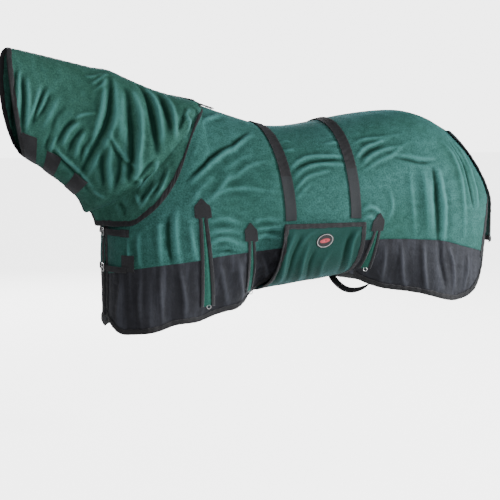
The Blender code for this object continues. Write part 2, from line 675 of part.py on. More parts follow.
def build_tail_flap():
    shares = [-1.0, -0.84, -0.45, 0.0, 0.45, 0.84, 1.0]
    start = TAIL_HINGE[1] - 0.012
    levels = [start - (start - FLAP_FOOT) * f for f in spread(0.0, 0.96, 11)] + [FLAP_FOOT]
    rows = [[flap_point(share, z, LIFT_TOP) for share in shares] for z in levels]
    flap = sheet("tail_flap", rows, CLOTH, GREEN)
    rows = [[flap_point(share, z, LIFT_TOP + LIFT_TAPE) for share in shares] for z in levels[1:]]
    last_row, last_column = len(levels) - 3, len(shares) - 2
    binding = sheet("tail_flap_binding", rows, TAPE, BLACK,
                    keep=lambda i, j: i == last_row or j in (0, last_column))
    hinge = Vector((TAIL_HINGE[0], 0.0, TAIL_HINGE[1]))
    for obj in (flap, binding):
        move_origin(obj, hinge)


# ---------------------------------------------------------------- build
def main():
    for obj in list(bpy.data.objects):
        bpy.data.objects.remove(obj, do_unlink=True)
    for side, sign in (("left", -1), ("right", 1)):
        build_side(side, sign)
        for number, gusset in enumerate(GUSSETS, 1):
            build_gusset(side, sign, number, gusset)
        build_neck_cover(side, sign)
        build_throat_binding(side, sign)
    for name, (spine_s, side_s, low_z) in BACK_STRAPS.items():
        build_back_strap(f"back_strap_{name}", spine_s, side_s, low_z)
    build_belly_wrap()
    build_belly_strap()
    build_neck_trim()
    for number, (k, upper) in enumerate(THROAT_TABS, 1):
        build_throat_tab(number, k, upper)
    for level, z in CHEST_LEVELS.items():
        build_chest_fastening(level, z)
    build_tail_flap()


main()
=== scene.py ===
import math

import bmesh
import bpy
import numpy as np
from mathutils import Matrix, Vector, kdtree, noise


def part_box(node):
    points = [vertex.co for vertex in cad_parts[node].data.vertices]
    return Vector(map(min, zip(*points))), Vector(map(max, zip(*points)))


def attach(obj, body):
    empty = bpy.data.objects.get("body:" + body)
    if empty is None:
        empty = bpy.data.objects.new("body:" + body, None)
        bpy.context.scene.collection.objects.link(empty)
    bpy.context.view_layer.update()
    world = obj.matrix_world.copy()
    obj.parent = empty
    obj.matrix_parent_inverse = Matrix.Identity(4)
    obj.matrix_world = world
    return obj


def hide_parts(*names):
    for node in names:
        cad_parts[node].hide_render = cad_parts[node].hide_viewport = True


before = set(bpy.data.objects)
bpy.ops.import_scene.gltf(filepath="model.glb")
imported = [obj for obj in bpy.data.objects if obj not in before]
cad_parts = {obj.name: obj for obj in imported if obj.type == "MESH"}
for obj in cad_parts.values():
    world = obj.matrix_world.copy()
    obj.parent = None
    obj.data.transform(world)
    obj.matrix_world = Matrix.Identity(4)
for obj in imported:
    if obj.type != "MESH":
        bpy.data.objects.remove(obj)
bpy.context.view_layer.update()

# the rug's lines and shape in metres, the same figures as the solids
rugShape = dict(
    chestX=-0.508, barrelHalf=0.31, rumpX=0.85, rumpLength=0.513, rumpHalf=0.32,
    frontFan=0.65, rearFan=0.60, chestPower=2.6, spineLead=0.10,
    holeTop=(-0.090, 0.030), holeFront=(-0.495, -0.440), holeHalf=0.20, tailTop=(1.150, -0.088),
    topline=[(0.0, 0.0), (0.148, -0.045), (0.226, -0.064), (0.363, -0.062), (0.557, -0.027),
             (0.70, -0.006), (0.844, 0.005), (0.922, 0.0), (1.028, -0.028), (1.134, -0.080)],
    halfWidth=[(0.0, 0.31), (0.2, 0.325), (0.4, 0.336), (0.6, 0.336), (0.85, 0.32)],
    widest=[(-0.65, -0.55), (-0.4, -0.50), (0.0, -0.45), (0.35, -0.43), (0.85, -0.45), (1.45, -0.42)],
    roundness=[(-0.65, 1.3), (-0.25, 1.3), (-0.12, 1.5), (0.0, 1.75), (0.3, 2.0), (0.85, 2.1),
               (1.05, 1.7), (1.2, 1.42), (1.45, 1.4)],
    tuck=[(-0.65, 0.0), (-0.3, 0.1), (0.0, 0.6), (0.08, 1.1), (0.15, 1.75), (0.25, 1.6), (0.45, 1.5),
          (0.56, 1.7), (0.66, 1.05), (0.85, 0.3), (1.1, 0.05), (1.45, 0.0)],
    skirtLine=[(-0.65, -0.700), (-0.31, -0.655), (-0.12, -0.632), (0.011, -0.605), (0.09, -0.598),
               (0.35, -0.580), (0.65, -0.563), (0.92, -0.578), (1.05, -0.615), (1.21, -0.652)],
    hemLine=[(-0.65, -0.881), (-0.57, -0.919), (-0.50, -0.946), (-0.44, -0.947), (-0.30, -0.933),
             (-0.17, -0.902), (-0.08, -0.892), (0.0, -0.858), (0.09, -0.819), (0.15, -0.777),
             (0.20, -0.720), (0.35, -0.672), (0.52, -0.657), (0.572, -0.664), (0.578, -0.672),
             (0.587, -0.738), (0.60, -0.748), (0.66, -0.772), (0.74, -0.793), (0.87, -0.816),
             (0.99, -0.855), (1.05, -0.854), (1.10, -0.832), (1.15, -0.778), (1.185, -0.720),
             (1.205, -0.672)],
    rearEdge=[(0.52, 1.45), (0.75, 1.37), (1.0, 1.27), (1.2, 1.205)],
    bibDrop=[(0.0, 0.012), (0.10, 0.020), (0.16, 0.042), (0.229, 0.071), (0.265, 0.100),
             (0.292, 0.150), (0.312, 0.205), (0.345, 0.250), (0.40, 0.276), (0.455, 0.279),
             (0.522, 0.261), (0.614, 0.221), (0.752, 0.131), (0.90, 0.066), (1.0, 0.055)],
    crestX=[(0.0, -0.090), (0.14, -0.211), (0.23, -0.280), (0.36, -0.394), (0.48, -0.493),
            (0.58, -0.573), (0.80, -0.770), (1.0, -0.925)],
    crestZ=[(0.0, 0.043), (0.14, 0.066), (0.23, 0.083), (0.36, 0.130), (0.48, 0.172),
            (0.58, 0.184), (0.80, 0.229), (1.0, 0.262)],
    throatX=[(0.0, -0.590), (0.12, -0.606), (0.21, -0.620), (0.33, -0.650), (0.60, -0.738),
             (0.82, -0.806), (1.0, -0.862)],
    throatZ=[(0.0, -0.458), (0.12, -0.415), (0.21, -0.380), (0.33, -0.345), (0.60, -0.272),
             (0.82, -0.222), (1.0, -0.188)],
    neckHalf=[(0.0, 0.240), (0.25, 0.175), (0.6, 0.122), (1.0, 0.105)],
    faceBulge=0.038, bibOffset=0.0104, chestSwell=0.082)
# thicknesses of cloth, tape and strap, and how far the laid-on layers stand off the cloth
layers = dict(cloth=0.0012, tape=0.0008, strap=0.0020, insertLift=0.0015, gussetLift=0.0030, strapLift=0.0034)


def curveThrough(stations, x):
    knots = np.array(stations, float)
    xs, ys = knots[:, 0], knots[:, 1]
    last = len(xs) - 1
    before = np.maximum(np.arange(last + 1) - 1, 0)
    after = np.minimum(np.arange(last + 1) + 1, last)
    slopes = (ys[after] - ys[before]) / (xs[after] - xs[before])
    x = np.clip(np.asarray(x, float), xs[0], xs[-1])
    i = np.clip(np.searchsorted(xs, x) - 1, 0, last - 1)
    span = xs[i + 1] - xs[i]
    f = (x - xs[i]) / span
    return ((2 * f**3 - 3 * f**2 + 1) * ys[i] + (f**3 - 2 * f**2 + f) * span * slopes[i]
            + (3 * f**2 - 2 * f**3) * ys[i + 1] + (f**3 - f**2) * span * slopes[i + 1])


def ramp(low, high, x):
    f = np.clip((x - low) / (high - low), 0.0, 1.0)
    return f * f * (3 - 2 * f)


def unit(vectors):
    return vectors / np.maximum(np.linalg.norm(vectors, axis=-1, keepdims=True), 1e-9)


def stack(x, y, z):
    return np.stack(np.broadcast_arrays(x, y, z), -1)


# columns run from the spine or the neck opening down to the widest level and on to the hem
def neckRound(turn):
    return np.maximum(np.sin(2 * turn), 0.0) ** (0.8 + 0.45 * np.sin(turn) ** 2)


def column(s):
    g = rugShape
    u = np.clip(-s / g["frontFan"], 0.0, 1.0)
    turn = np.pi / 2 * u
    holeTurn = np.pi / 2 * np.clip((u - g["spineLead"]) / (1 - g["spineLead"]), 0.0, 1.0)
    share = np.sin(holeTurn) ** 2
    lead = np.clip(u / g["spineLead"], 0.0, 1.0)
    frontTop = stack(
        np.where(u < g["spineLead"], g["holeTop"][0] * lead,
                 g["holeTop"][0] + (g["holeFront"][0] - g["holeTop"][0]) * share),
        np.where(u < g["spineLead"], 0.0, g["holeHalf"] * neckRound(holeTurn)),
        np.where(u < g["spineLead"], g["holeTop"][1] * lead,
                 g["holeTop"][1] + (g["holeFront"][1] - g["holeTop"][1]) * share))
    frontX = g["chestX"] * np.sin(turn) ** (2 / g["chestPower"])
    frontY = g["barrelHalf"] * np.maximum(np.cos(turn), 0.0) ** (2 / g["chestPower"])
    rear = np.pi / 2 * np.clip((s - g["rumpX"]) / g["rearFan"], 0.0, 1.0)
    rearTopX = g["rumpX"] + (g["tailTop"][0] - 0.02 - g["rumpX"]) * np.sin(rear)
    front, back = s < 0, s > g["rumpX"]
    topX = np.where(back, rearTopX, s)
    top = np.where(front[..., None], frontTop,
                   stack(topX, np.zeros_like(s), curveThrough(g["topline"], topX)))
    sideX = np.where(front, frontX, np.where(back, g["rumpX"] + g["rumpLength"] * np.sin(rear), s))
    sideY = np.where(front, frontY, np.where(
        back, g["rumpHalf"] * np.maximum(np.cos(rear), 0.0), curveThrough(g["halfWidth"], s)))
    side = stack(sideX, sideY, curveThrough(g["widest"], s))
    return top, side, curveThrough(g["roundness"], s), curveThrough(g["tuck"], s)


def bodyCore(points):
    return stack(np.clip(points[..., 0], -0.25, 1.05), 0.0 * points[..., 0], -0.35 + 0.0 * points[..., 0])


def neckCore(points):
    f = np.clip((-0.25 - points[..., 0]) / 0.67, 0.0, 1.0)
    return stack(points[..., 0], 0.0 * f, -0.14 + 0.19 * f)


def bodyRaw(s, t):
    s, t = np.broadcast_arrays(np.asarray(s, float), np.asarray(t, float))
    top, side, power, tuck = column(s)
    bend = np.pi / 2 * np.clip(t, 0.0, 1.0)
    across = np.sin(bend) ** (2 / power)
    down = 1.0 - np.maximum(np.cos(bend), 0.0) ** (2 / power)
    points = top + (side - top) * stack(across, across, down)
    depth = np.maximum(t - 1.0, 0.0)
    inward = bodyCore(side) - side
    inward[..., 2] = 0.0
    points = points + unit(inward) * (tuck * depth * depth)[..., None]
    points[..., 2] -= depth
    return points


def tAtLevel(s, z):
    s, z = np.broadcast_arrays(np.asarray(s, float), np.asarray(z, float))
    top, side, power, _ = column(s)
    fall = (top[..., 2] - z) / (top[..., 2] - side[..., 2])
    upper = np.degrees(np.arccos(np.clip(1.0 - fall, 0.0, 1.0) ** (power / 2))) / 90.0
    return np.where(fall >= 1.0, 1.0 + side[..., 2] - z, upper)


def bodyBase(s, t, lift=0.0):
    s, t = np.broadcast_arrays(np.asarray(s, float), np.asarray(t, float))
    step = 0.012
    near = np.maximum(t, 0.03 + 0.15 * np.clip((-s - 0.1) / 0.1, 0.0, 1.0))
    along = bodyRaw(s + step, near) - bodyRaw(s - step, near)
    downward = bodyRaw(s, near + step) - bodyRaw(s, np.maximum(near - step, 0.0))
    normals = unit(np.cross(along, downward))
    points = bodyRaw(s, t)
    inwards = np.sum(normals * (points - bodyCore(points)), -1) < 0.0
    normals[inwards] *= -1
    middle = ((t < 0.03) & (np.abs(points[..., 1]) < 1e-6)) | (s < -rugShape["frontFan"] + step) | (
        s > rugShape["rumpX"] + rugShape["rearFan"] - step)
    normals[middle, 1] = 0.0
    return points + unit(normals) * np.asarray(lift, float)[..., None]


def neckBase(u, k):
    g = rugShape
    u, k = np.broadcast_arrays(np.asarray(u, float), np.asarray(k, float))
    turn = np.pi / 2 * np.clip((u - g["spineLead"]) / (1 - g["spineLead"]), 0.0, 1.0)
    share, bulge, up = np.sin(turn) ** 2, neckRound(turn), np.clip(k, 0.0, 1.0)
    crestX, crestZ = curveThrough(g["crestX"], up), curveThrough(g["crestZ"], up)
    neck = stack(crestX + (curveThrough(g["throatX"], up) - crestX) * share - g["faceBulge"] * bulge * up * up,
                 curveThrough(g["neckHalf"], up) * bulge,
                 crestZ + (curveThrough(g["throatZ"], up) - crestZ) * share)
    s = -u * g["frontFan"]
    swell = g["chestSwell"] * np.clip((u - 0.55) / 0.45, 0.0, 1.0) ** 2
    hole = bodyBase(s, 0.0 * s, g["bibOffset"] + swell)
    blend = np.clip(1.0 - up / 0.06, 0.0, 1.0)[..., None] ** 2
    neck = neck + (hole - neck) * blend
    edgeT = tAtLevel(s, column(s)[0][..., 2] - curveThrough(g["bibDrop"], u))
    down = np.clip(k, -1.0, 0.0)
    bib = bodyBase(s, -down * edgeT, g["bibOffset"] + swell * (1.0 + 0.60 * down))
    return np.where((k < 0)[..., None], bib, neck)


# folds: a path on the surface, half width and height, negative for a valley
bodyFolds = dict(reach=16, strength=1.1, paths=[
    ([(-0.169, 0.66), (-0.089, 0.615), (-0.017, 0.525), (0.095, 0.345)], 0.009, -0.010),
    ([(-0.145, 0.69), (-0.065, 0.63), (-0.009, 0.54), (0.111, 0.36)], 0.012, 0.012),
    ([(-0.217, 0.345), (-0.145, 0.315), (-0.057, 0.3), (0.007, 0.165)], 0.010, 0.012),
    ([(-0.273, 0.09), (-0.201, 0.18), (-0.081, 0.27)], 0.010, -0.010),
    ([(-0.065, 0.825), (-0.033, 0.765), (-0.009, 0.69)], 0.010, 0.006),
    ([(-0.145, 0.84), (-0.113, 0.765), (-0.057, 0.705)], 0.014, 0.005),
    ([(-0.089, 0.855), (-0.041, 0.81), (0.007, 0.795), (0.167, 0.84)], 0.010, 0.006),
    ([(-0.017, 0.735), (0.015, 0.69), (0.063, 0.645), (0.143, 0.6)], 0.009, 0.006),
    ([(-0.025, 0.675), (0.007, 0.615), (0.079, 0.555)], 0.008, 0.004),
    ([(0.231, 0.675), (0.287, 0.6), (0.343, 0.57), (0.439, 0.585), (0.511, 0.615)], 0.008, 0.008),
    ([(0.231, 0.705), (0.287, 0.645), (0.343, 0.615), (0.439, 0.615), (0.511, 0.645)], 0.007, -0.007),
    ([(0.239, 0.75), (0.303, 0.675), (0.367, 0.645), (0.447, 0.66), (0.511, 0.675)], 0.008, 0.007),
    ([(0.239, 0.855), (0.271, 0.795), (0.319, 0.735), (0.415, 0.705)], 0.008, 0.007),
    ([(0.247, 0.915), (0.287, 0.84), (0.327, 0.795)], 0.008, 0.004),
    ([(0.423, 0.465), (0.471, 0.465), (0.527, 0.465)], 0.007, 0.006),
    ([(0.215, 0.51), (0.247, 0.495), (0.279, 0.495)], 0.007, 0.006),
    ([(0.215, 0.42), (0.255, 0.39), (0.279, 0.405)], 0.007, 0.004),
    ([(0.551, 0.51), (0.607, 0.48), (0.679, 0.48), (0.815, 0.465)], 0.008, 0.006),
    ([(0.559, 0.615), (0.607, 0.555), (0.671, 0.525), (0.735, 0.495)], 0.008, 0.009),
    ([(0.575, 0.69), (0.623, 0.63), (0.703, 0.585), (0.775, 0.57)], 0.008, 0.008),
    ([(0.575, 0.735), (0.655, 0.675), (0.735, 0.63), (0.823, 0.54)], 0.009, 0.006),
    ([(0.567, 0.645), (0.623, 0.585), (0.679, 0.555)], 0.007, -0.007),
    ([(0.743, 0.645), (0.823, 0.675), (0.871, 0.69), (0.927, 0.675)], 0.007, -0.006),
    ([(0.743, 0.63), (0.823, 0.645), (0.879, 0.66), (0.935, 0.645)], 0.008, 0.005),
    ([(0.815, 0.75), (0.815, 0.9), (0.831, 1.1)], 0.014, 0.005),
    ([(0.879, 0.735), (0.879, 0.9), (0.887, 1.11)], 0.014, 0.006),
    ([(0.919, 0.72), (0.919, 0.84), (0.919, 0.96), (0.927, 1.13)], 0.009, -0.014),
    ([(0.943, 0.735), (0.943, 0.855), (0.951, 0.99), (0.951, 1.14)], 0.014, 0.012),
    ([(0.895, 0.81), (0.895, 0.93), (0.903, 1.11)], 0.012, 0.007),
    ([(1.111, 0.42), (1.119, 0.51), (1.127, 0.615), (1.103, 0.78), (1.103, 0.975)], 0.010, -0.012),
    ([(1.175, 0.39), (1.190, 0.465), (1.175, 0.6), (1.151, 0.765), (1.135, 0.99)], 0.009, 0.010),
    ([(1.031, 0.48), (1.055, 0.57), (1.055, 0.705), (1.047, 0.915), (1.055, 1.12)], 0.012, 0.008),
    ([(0.551, 1.01), (0.583, 0.975), (0.615, 0.975), (0.655, 1.01)], 0.008, 0.008),
    ([(0.551, 1.04), (0.591, 1.02), (0.623, 1.03)], 0.007, 0.007),
    ([(0.687, 1.03), (0.711, 0.975), (0.703, 0.87)], 0.010, 0.005),
    ([(0.071, 1.06), (0.103, 1.06), (0.143, 1.06), (0.199, 1.07)], 0.008, 0.009),
    ([(0.071, 1.1), (0.119, 1.09), (0.183, 1.11)], 0.008, 0.007),
    ([(0.055, 1.03), (0.095, 1.02), (0.175, 1.03)], 0.009, 0.005),
    ([(-0.081, 1.06), (-0.041, 1.05), (-0.001, 1.06)], 0.010, 0.007),
    ([(-0.081, 1.11), (-0.057, 1.09), (-0.025, 1.09), (0.007, 1.12)], 0.010, 0.008),
    ([(-0.081, 1.01), (-0.033, 1.0), (0.007, 1.03)], 0.012, 0.006),
    ([(-0.065, 1.14), (-0.025, 1.14), (-0.001, 1.15)], 0.008, -0.006),
    ([(-0.369, 1.01), (-0.377, 1.07), (-0.369, 1.16)], 0.012, 0.008),
    ([(-0.273, 0.915), (-0.273, 1.06), (-0.265, 1.17)], 0.013, 0.009),
    ([(-0.201, 0.84), (-0.201, 1.05), (-0.185, 1.17)], 0.014, 0.008),
    ([(-0.441, 1.03), (-0.441, 1.09), (-0.433, 1.17)], 0.009, 0.006),
    ([(-0.233, 0.87), (-0.233, 1.06), (-0.217, 1.17)], 0.010, -0.007),
    ([(-0.145, 1.0), (-0.137, 1.08), (-0.121, 1.17)], 0.012, 0.007),
    ([(-0.497, 1.19), (-0.513, 1.28), (-0.529, 1.39)], 0.012, 0.008),
    ([(-0.369, 1.19), (-0.377, 1.3), (-0.369, 1.42)], 0.013, 0.009),
    ([(-0.265, 1.19), (-0.265, 1.3), (-0.257, 1.42)], 0.012, 0.009),
    ([(-0.185, 1.19), (-0.161, 1.31), (-0.153, 1.42)], 0.012, 0.008),
    ([(-0.041, 1.19), (-0.025, 1.29), (-0.009, 1.38)], 0.012, 0.009),
    ([(-0.001, 1.18), (0.015, 1.27), (0.047, 1.37)], 0.010, 0.008),
    ([(0.111, 1.18), (0.159, 1.25), (0.183, 1.32)], 0.010, 0.008),
    ([(0.687, 1.15), (0.695, 1.23), (0.703, 1.32)], 0.012, 0.009),
    ([(0.767, 1.15), (0.783, 1.25), (0.807, 1.34)], 0.013, 0.009),
    ([(0.871, 1.15), (0.879, 1.26), (0.895, 1.36)], 0.012, 0.010),
    ([(0.935, 1.14), (0.943, 1.23), (0.967, 1.35)], 0.010, -0.012),
    ([(0.975, 1.16), (0.999, 1.25), (1.015, 1.37)], 0.012, 0.010),
    ([(1.079, 1.2), (1.079, 1.28), (1.063, 1.37)], 0.010, 0.007)])
neckFolds = dict(reach=16, strength=0.95, paths=[
    ([(0.244, 0.47), (0.376, 0.44), (0.508, 0.41), (0.688, 0.41), (0.796, 0.395)], 0.011, -0.016),
    ([(0.256, 0.455), (0.376, 0.41), (0.496, 0.365), (0.664, 0.35), (0.784, 0.335)], 0.014, 0.012),
    ([(0.28, 0.5), (0.412, 0.47), (0.496, 0.455), (0.604, 0.44)], 0.012, 0.009),
    ([(0.28, 0.38), (0.412, 0.32), (0.532, 0.23), (0.616, 0.14), (0.676, 0.065)], 0.013, -0.020),
    ([(0.292, 0.335), (0.448, 0.23), (0.568, 0.125), (0.652, 0.035)], 0.014, 0.019),
    ([(0.316, 0.395), (0.448, 0.35), (0.556, 0.29)], 0.016, 0.009),
    ([(0.184, 0.32), (0.328, 0.245), (0.436, 0.155), (0.532, 0.05)], 0.012, -0.020),
    ([(0.208, 0.29), (0.352, 0.185), (0.472, 0.08)], 0.013, 0.018),
    ([(0.196, 0.23), (0.304, 0.17), (0.412, 0.08)], 0.010, -0.016),
    ([(0.208, 0.185), (0.352, 0.095), (0.448, 0.02)], 0.011, 0.013),
    ([(0.268, 0.05), (0.34, 0.02), (0.4, -0.265)], 0.009, 0.012),
    ([(0.268, 0.065), (0.352, 0.05), (0.412, 0.035)], 0.008, -0.010),
    ([(0.244, 0.035), (0.316, -0.19), (0.364, -0.355)], 0.008, -0.012),
    ([(0.352, 0.95), (0.448, 0.965), (0.532, 0.98)], 0.008, -0.010),
    ([(0.364, 0.935), (0.472, 0.95), (0.592, 0.965)], 0.007, 0.009),
    ([(0.388, 0.92), (0.532, 0.92), (0.712, 0.95)], 0.009, -0.013),
    ([(0.4, 0.89), (0.532, 0.89), (0.688, 0.92)], 0.009, 0.010),
    ([(0.424, 0.785), (0.544, 0.83), (0.64, 0.86)], 0.009, -0.013),
    ([(0.424, 0.815), (0.532, 0.845), (0.628, 0.89)], 0.009, 0.009),
    ([(0.448, 0.755), (0.532, 0.785), (0.604, 0.83)], 0.008, -0.009),
    ([(0.436, 0.77), (0.52, 0.8), (0.604, 0.845)], 0.007, 0.008),
    ([(0.46, 0.71), (0.544, 0.74), (0.64, 0.785)], 0.010, 0.006),
    ([(0.484, 0.665), (0.568, 0.71), (0.652, 0.725)], 0.009, -0.006),
    ([(0.532, 0.59), (0.592, 0.635), (0.688, 0.665)], 0.008, -0.010),
    ([(0.544, 0.56), (0.604, 0.605), (0.688, 0.62)], 0.009, 0.009),
    ([(0.484, 0.485), (0.508, 0.56), (0.544, 0.605)], 0.007, 0.007),
    ([(0.568, 0.53), (0.64, 0.56), (0.712, 0.56)], 0.008, -0.009),
    ([(0.58, 0.5), (0.64, 0.515), (0.724, 0.5)], 0.009, 0.009),
    ([(0.592, 0.455), (0.664, 0.47), (0.736, 0.44)], 0.008, -0.008),
    ([(0.652, 0.68), (0.712, 0.695), (0.772, 0.695)], 0.007, 0.007),
    ([(0.652, 0.725), (0.712, 0.74), (0.76, 0.74)], 0.007, -0.007),
    ([(0.712, 0.68), (0.748, 0.575), (0.772, 0.425), (0.808, 0.245)], 0.008, 0.010),
    ([(0.748, 0.695), (0.772, 0.575), (0.808, 0.425), (0.844, 0.245)], 0.007, -0.008),
    ([(0.544, 0.365), (0.592, 0.245), (0.616, 0.08)], 0.007, 0.010),
    ([(0.556, 0.365), (0.604, 0.26), (0.628, 0.095)], 0.007, -0.007),
    ([(0.568, 0.335), (0.664, 0.26), (0.748, 0.11)], 0.014, 0.013),
    ([(0.592, 0.26), (0.664, 0.17), (0.736, 0.095)], 0.012, -0.012),
    ([(0.604, 0.365), (0.688, 0.305), (0.772, 0.17)], 0.012, -0.010),
    ([(0.652, 0.08), (0.7, -0.22)], 0.008, 0.010),
    ([(0.568, 0.02), (0.628, -0.235), (0.664, -0.4)], 0.009, 0.012),
    ([(0.556, 0.035), (0.616, 0.035), (0.688, 0.02)], 0.008, -0.012),
    ([(0.688, -0.415), (0.604, -0.73)], 0.009, 0.011),
    ([(0.496, -0.64), (0.544, -0.7), (0.592, -0.775)], 0.009, 0.012),
    ([(0.568, -0.445), (0.604, -0.55), (0.628, -0.67)], 0.008, -0.012),
    ([(0.436, -0.61), (0.448, -0.775), (0.496, -0.85)], 0.009, 0.009),
    ([(0.484, -0.505), (0.496, -0.685), (0.544, -0.745)], 0.008, -0.009),
    ([(0.82, 0.215), (0.796, 0.095)], 0.008, 0.006),
    ([(0.808, -0.28), (0.724, -0.79)], 0.012, -0.008),
    ([(0.28, 0.605), (0.268, 0.56), (0.22, 0.515)], 0.008, 0.006),
    ([(0.328, 0.56), (0.292, 0.53), (0.208, 0.485)], 0.008, 0.008),
    ([(0.364, 0.53), (0.316, 0.5), (0.256, 0.485)], 0.008, 0.007)])
wrapFolds = dict(reach=16, strength=1.2, paths=[
    ([(0.189, 0.044), (0.189, 0.222), (0.193, 0.622)], 0.010, 0.010),
    ([(0.199, 0.044), (0.195, 0.231), (0.217, 0.64)], 0.009, -0.010),
    ([(0.235, 0.044), (0.211, 0.24), (0.241, 0.622)], 0.011, 0.010),
    ([(0.265, 0.071), (0.247, 0.276), (0.265, 0.596)], 0.009, -0.008),
    ([(0.307, 0.151), (0.301, 0.338), (0.331, 0.658)], 0.011, 0.008),
    ([(0.343, 0.213), (0.337, 0.373), (0.367, 0.667)], 0.009, -0.006),
    ([(0.415, 0.249), (0.397, 0.4), (0.421, 0.64)], 0.012, 0.005),
    ([(0.541, 0.036), (0.511, 0.204), (0.535, 0.64)], 0.011, 0.009),
    ([(0.505, 0.053), (0.487, 0.222), (0.505, 0.622)], 0.010, -0.006),
    ([(0.343, 0.036), (0.295, 0.08), (0.265, 0.169)], 0.009, 0.005)])


def foldField(points, surface, folds, seed):
    # height of the listed folds at each point; a seed above 0 shifts and weakens them
    chance = np.random.default_rng(seed)
    total = np.zeros(points.shape[:-1])
    flat = points.reshape(-1, 3)
    for path, halfWidth, height in folds["paths"]:
        knots = np.array(path)
        steps = np.linspace(0, len(knots) - 1, folds["reach"] * (len(knots) - 1))
        at = np.arange(len(knots))
        first = curveThrough(list(zip(at, knots[:, 0])), steps)
        second = curveThrough(list(zip(at, knots[:, 1])), steps)
        line = surface(first, second)
        if seed:
            line = line + chance.uniform(-0.016, 0.016, 3)
            height = height * chance.uniform(0.35, 1.0)
        low, high = line.min(0) - 3 * halfWidth, line.max(0) + 3 * halfWidth
        near = np.all((flat > low) & (flat < high), axis=1)
        gaps = np.linalg.norm(flat[near][:, None, :] - line[None], axis=2)
        share = steps[gaps.argmin(1)] / steps[-1]
        taper = np.sin(np.pi * (0.04 + 0.92 * share)) ** 0.7
        part = folds["strength"] * height * taper * np.exp(-(gaps.min(1) / halfWidth) ** 1.6)
        total.reshape(-1)[near] += part
    return total


def noiseField(points, scale, seed):
    flat = (points * np.asarray(scale, float) + seed * 7.3).reshape(-1, 3)
    return np.array([noise.noise(Vector(p)) for p in flat]).reshape(points.shape[:-1])


def foldShadeMask(heights):
    # -1 in the bottom of a fold, 1 on its crest, 0 where the cloth is flat: the mask for the painted shade in fold
    # bottoms and the painted highlight on fold crests
    soft = heights.copy()
    for _ in range(14):
        soft[1:-1] = 0.5 * soft[1:-1] + 0.25 * (soft[:-2] + soft[2:])
        soft[:, 1:-1] = 0.5 * soft[:, 1:-1] + 0.25 * (soft[:, :-2] + soft[:, 2:])
    return np.clip((heights - soft) / 0.0042, -1.0, 1.0)


def makeSkin(first, second, points, heights, side, flip):
    # a surface that pieces are laid on: its axes, its points with their folds, and its normals
    normals = np.cross(np.gradient(points, axis=0), np.gradient(points, axis=1))
    normals = unit(normals) * flip
    onMiddle = np.abs(points[..., 1]) < 2e-4
    normals[onMiddle, 1] = 0.0
    folded = points + unit(normals) * heights[..., None]
    folded[onMiddle, 1] = points[onMiddle, 1]
    again = unit(np.cross(np.gradient(folded, axis=0), np.gradient(folded, axis=1))) * flip
    again[onMiddle, 1] = 0.0
    folded[..., 1] *= side
    again[..., 1] *= side
    # tone is the mask for the painted fold shade and highlight
    return dict(first=first, second=second, points=folded, normals=unit(again), tone=foldShadeMask(heights)[..., None])


def readSkin(skin, a, b, *layers):
    i = np.interp(a, skin["first"], np.arange(len(skin["first"])))
    j = np.interp(b, skin["second"], np.arange(len(skin["second"])))
    i0 = np.clip(i.astype(int), 0, len(skin["first"]) - 2)
    j0 = np.clip(j.astype(int), 0, len(skin["second"]) - 2)
    fi, fj = (i - i0)[..., None], (j - j0)[..., None]
    found = []
    for layer in (skin[name] for name in layers):
        found.append((layer[i0, j0] * (1 - fi) * (1 - fj) + layer[i0 + 1, j0] * fi * (1 - fj)
                      + layer[i0, j0 + 1] * (1 - fi) * fj + layer[i0 + 1, j0 + 1] * fi * fj))
    return found


# reads the mask for the painted fold shade and highlight
def foldShadeAt(skin, a, b):
    a, b = np.broadcast_arrays(np.asarray(a, float), np.asarray(b, float))
    return readSkin(skin, a, b, "tone")[0][..., 0]


def onSkin(skin, a, b, lift=0.0):
    a, b, lift = np.broadcast_arrays(np.asarray(a, float), np.asarray(b, float), np.asarray(lift, float))
    found = readSkin(skin, a, b, "points", "normals")
    return found[0] + unit(found[1]) * lift[..., None]


backStrapSetup = dict(front=(0.187, 0.226, -0.470), rear=(0.502, 0.530, -0.466), width=0.050)


def strapLine(which, t):
    spineS, sideS, lowZ = backStrapSetup[which]
    return spineS + (sideS - spineS) * np.clip(t / tAtLevel(sideS, lowZ), 0.0, 1.0)


def bodySkin(side, seed):
    s = np.arange(-0.65, 1.4501, 0.006)
    t = np.concatenate([np.linspace(0, 1, 104), np.arange(1.006, 1.60, 0.006)])
    gridS, gridT = np.meshgrid(s, t, indexing="ij")
    base = bodyBase(gridS, gridT)
    fade = ramp(0.0, 0.06, np.abs(base[..., 1])) + (gridS < -0.1) * (gridT > 0.3)
    heights = foldField(base, lambda a, b: bodyBase(a, b), bodyFolds, seed)
    heights += 0.0050 * noiseField(base, (3.1, 3.1, 3.8), 1 + seed)
    heights += 0.0016 * noiseField(base, (9, 9, 21), 2 + seed)
    heights += 0.0013 * noiseField(base, (30, 30, 52), 3 + seed)
    waves = np.sin(2 * np.pi * gridS / 0.21 + 1.4 * np.sin(5 * gridS + seed))
    heights += 0.0060 * ramp(1.12, 1.42, gridT) * waves
    for which in ("front", "rear"):
        away = (gridS - strapLine(which, gridT)) / 0.036
        held = np.exp(-away**2) * ramp(1.10, 1.02, gridT)
        heights = heights * (1 - 0.9 * held) - 0.0035 * held
    bib = kdtree.KDTree(40 * 40)
    spots = neckBase(*np.meshgrid(np.linspace(0.10, 1.0, 40), np.linspace(-1.0, 0.0, 40), indexing="ij"))
    for number, spot in enumerate(spots.reshape(-1, 3)):
        bib.insert(spot, number)
    bib.balance()
    gap = np.array([bib.find(spot)[2] if spot[0] < 0.15 else 1.0 for spot in base.reshape(-1, 3)])
    free = ramp(0.020, 0.040, gap.reshape(heights.shape))  # the cloth lies flat under the neck cover's edge
    heights = heights * free + (np.minimum(heights, 0.0) * 0.5 - 0.001) * (1 - free)
    return makeSkin(s, t, base, heights * np.clip(fade, 0, 1), side, 1.0)


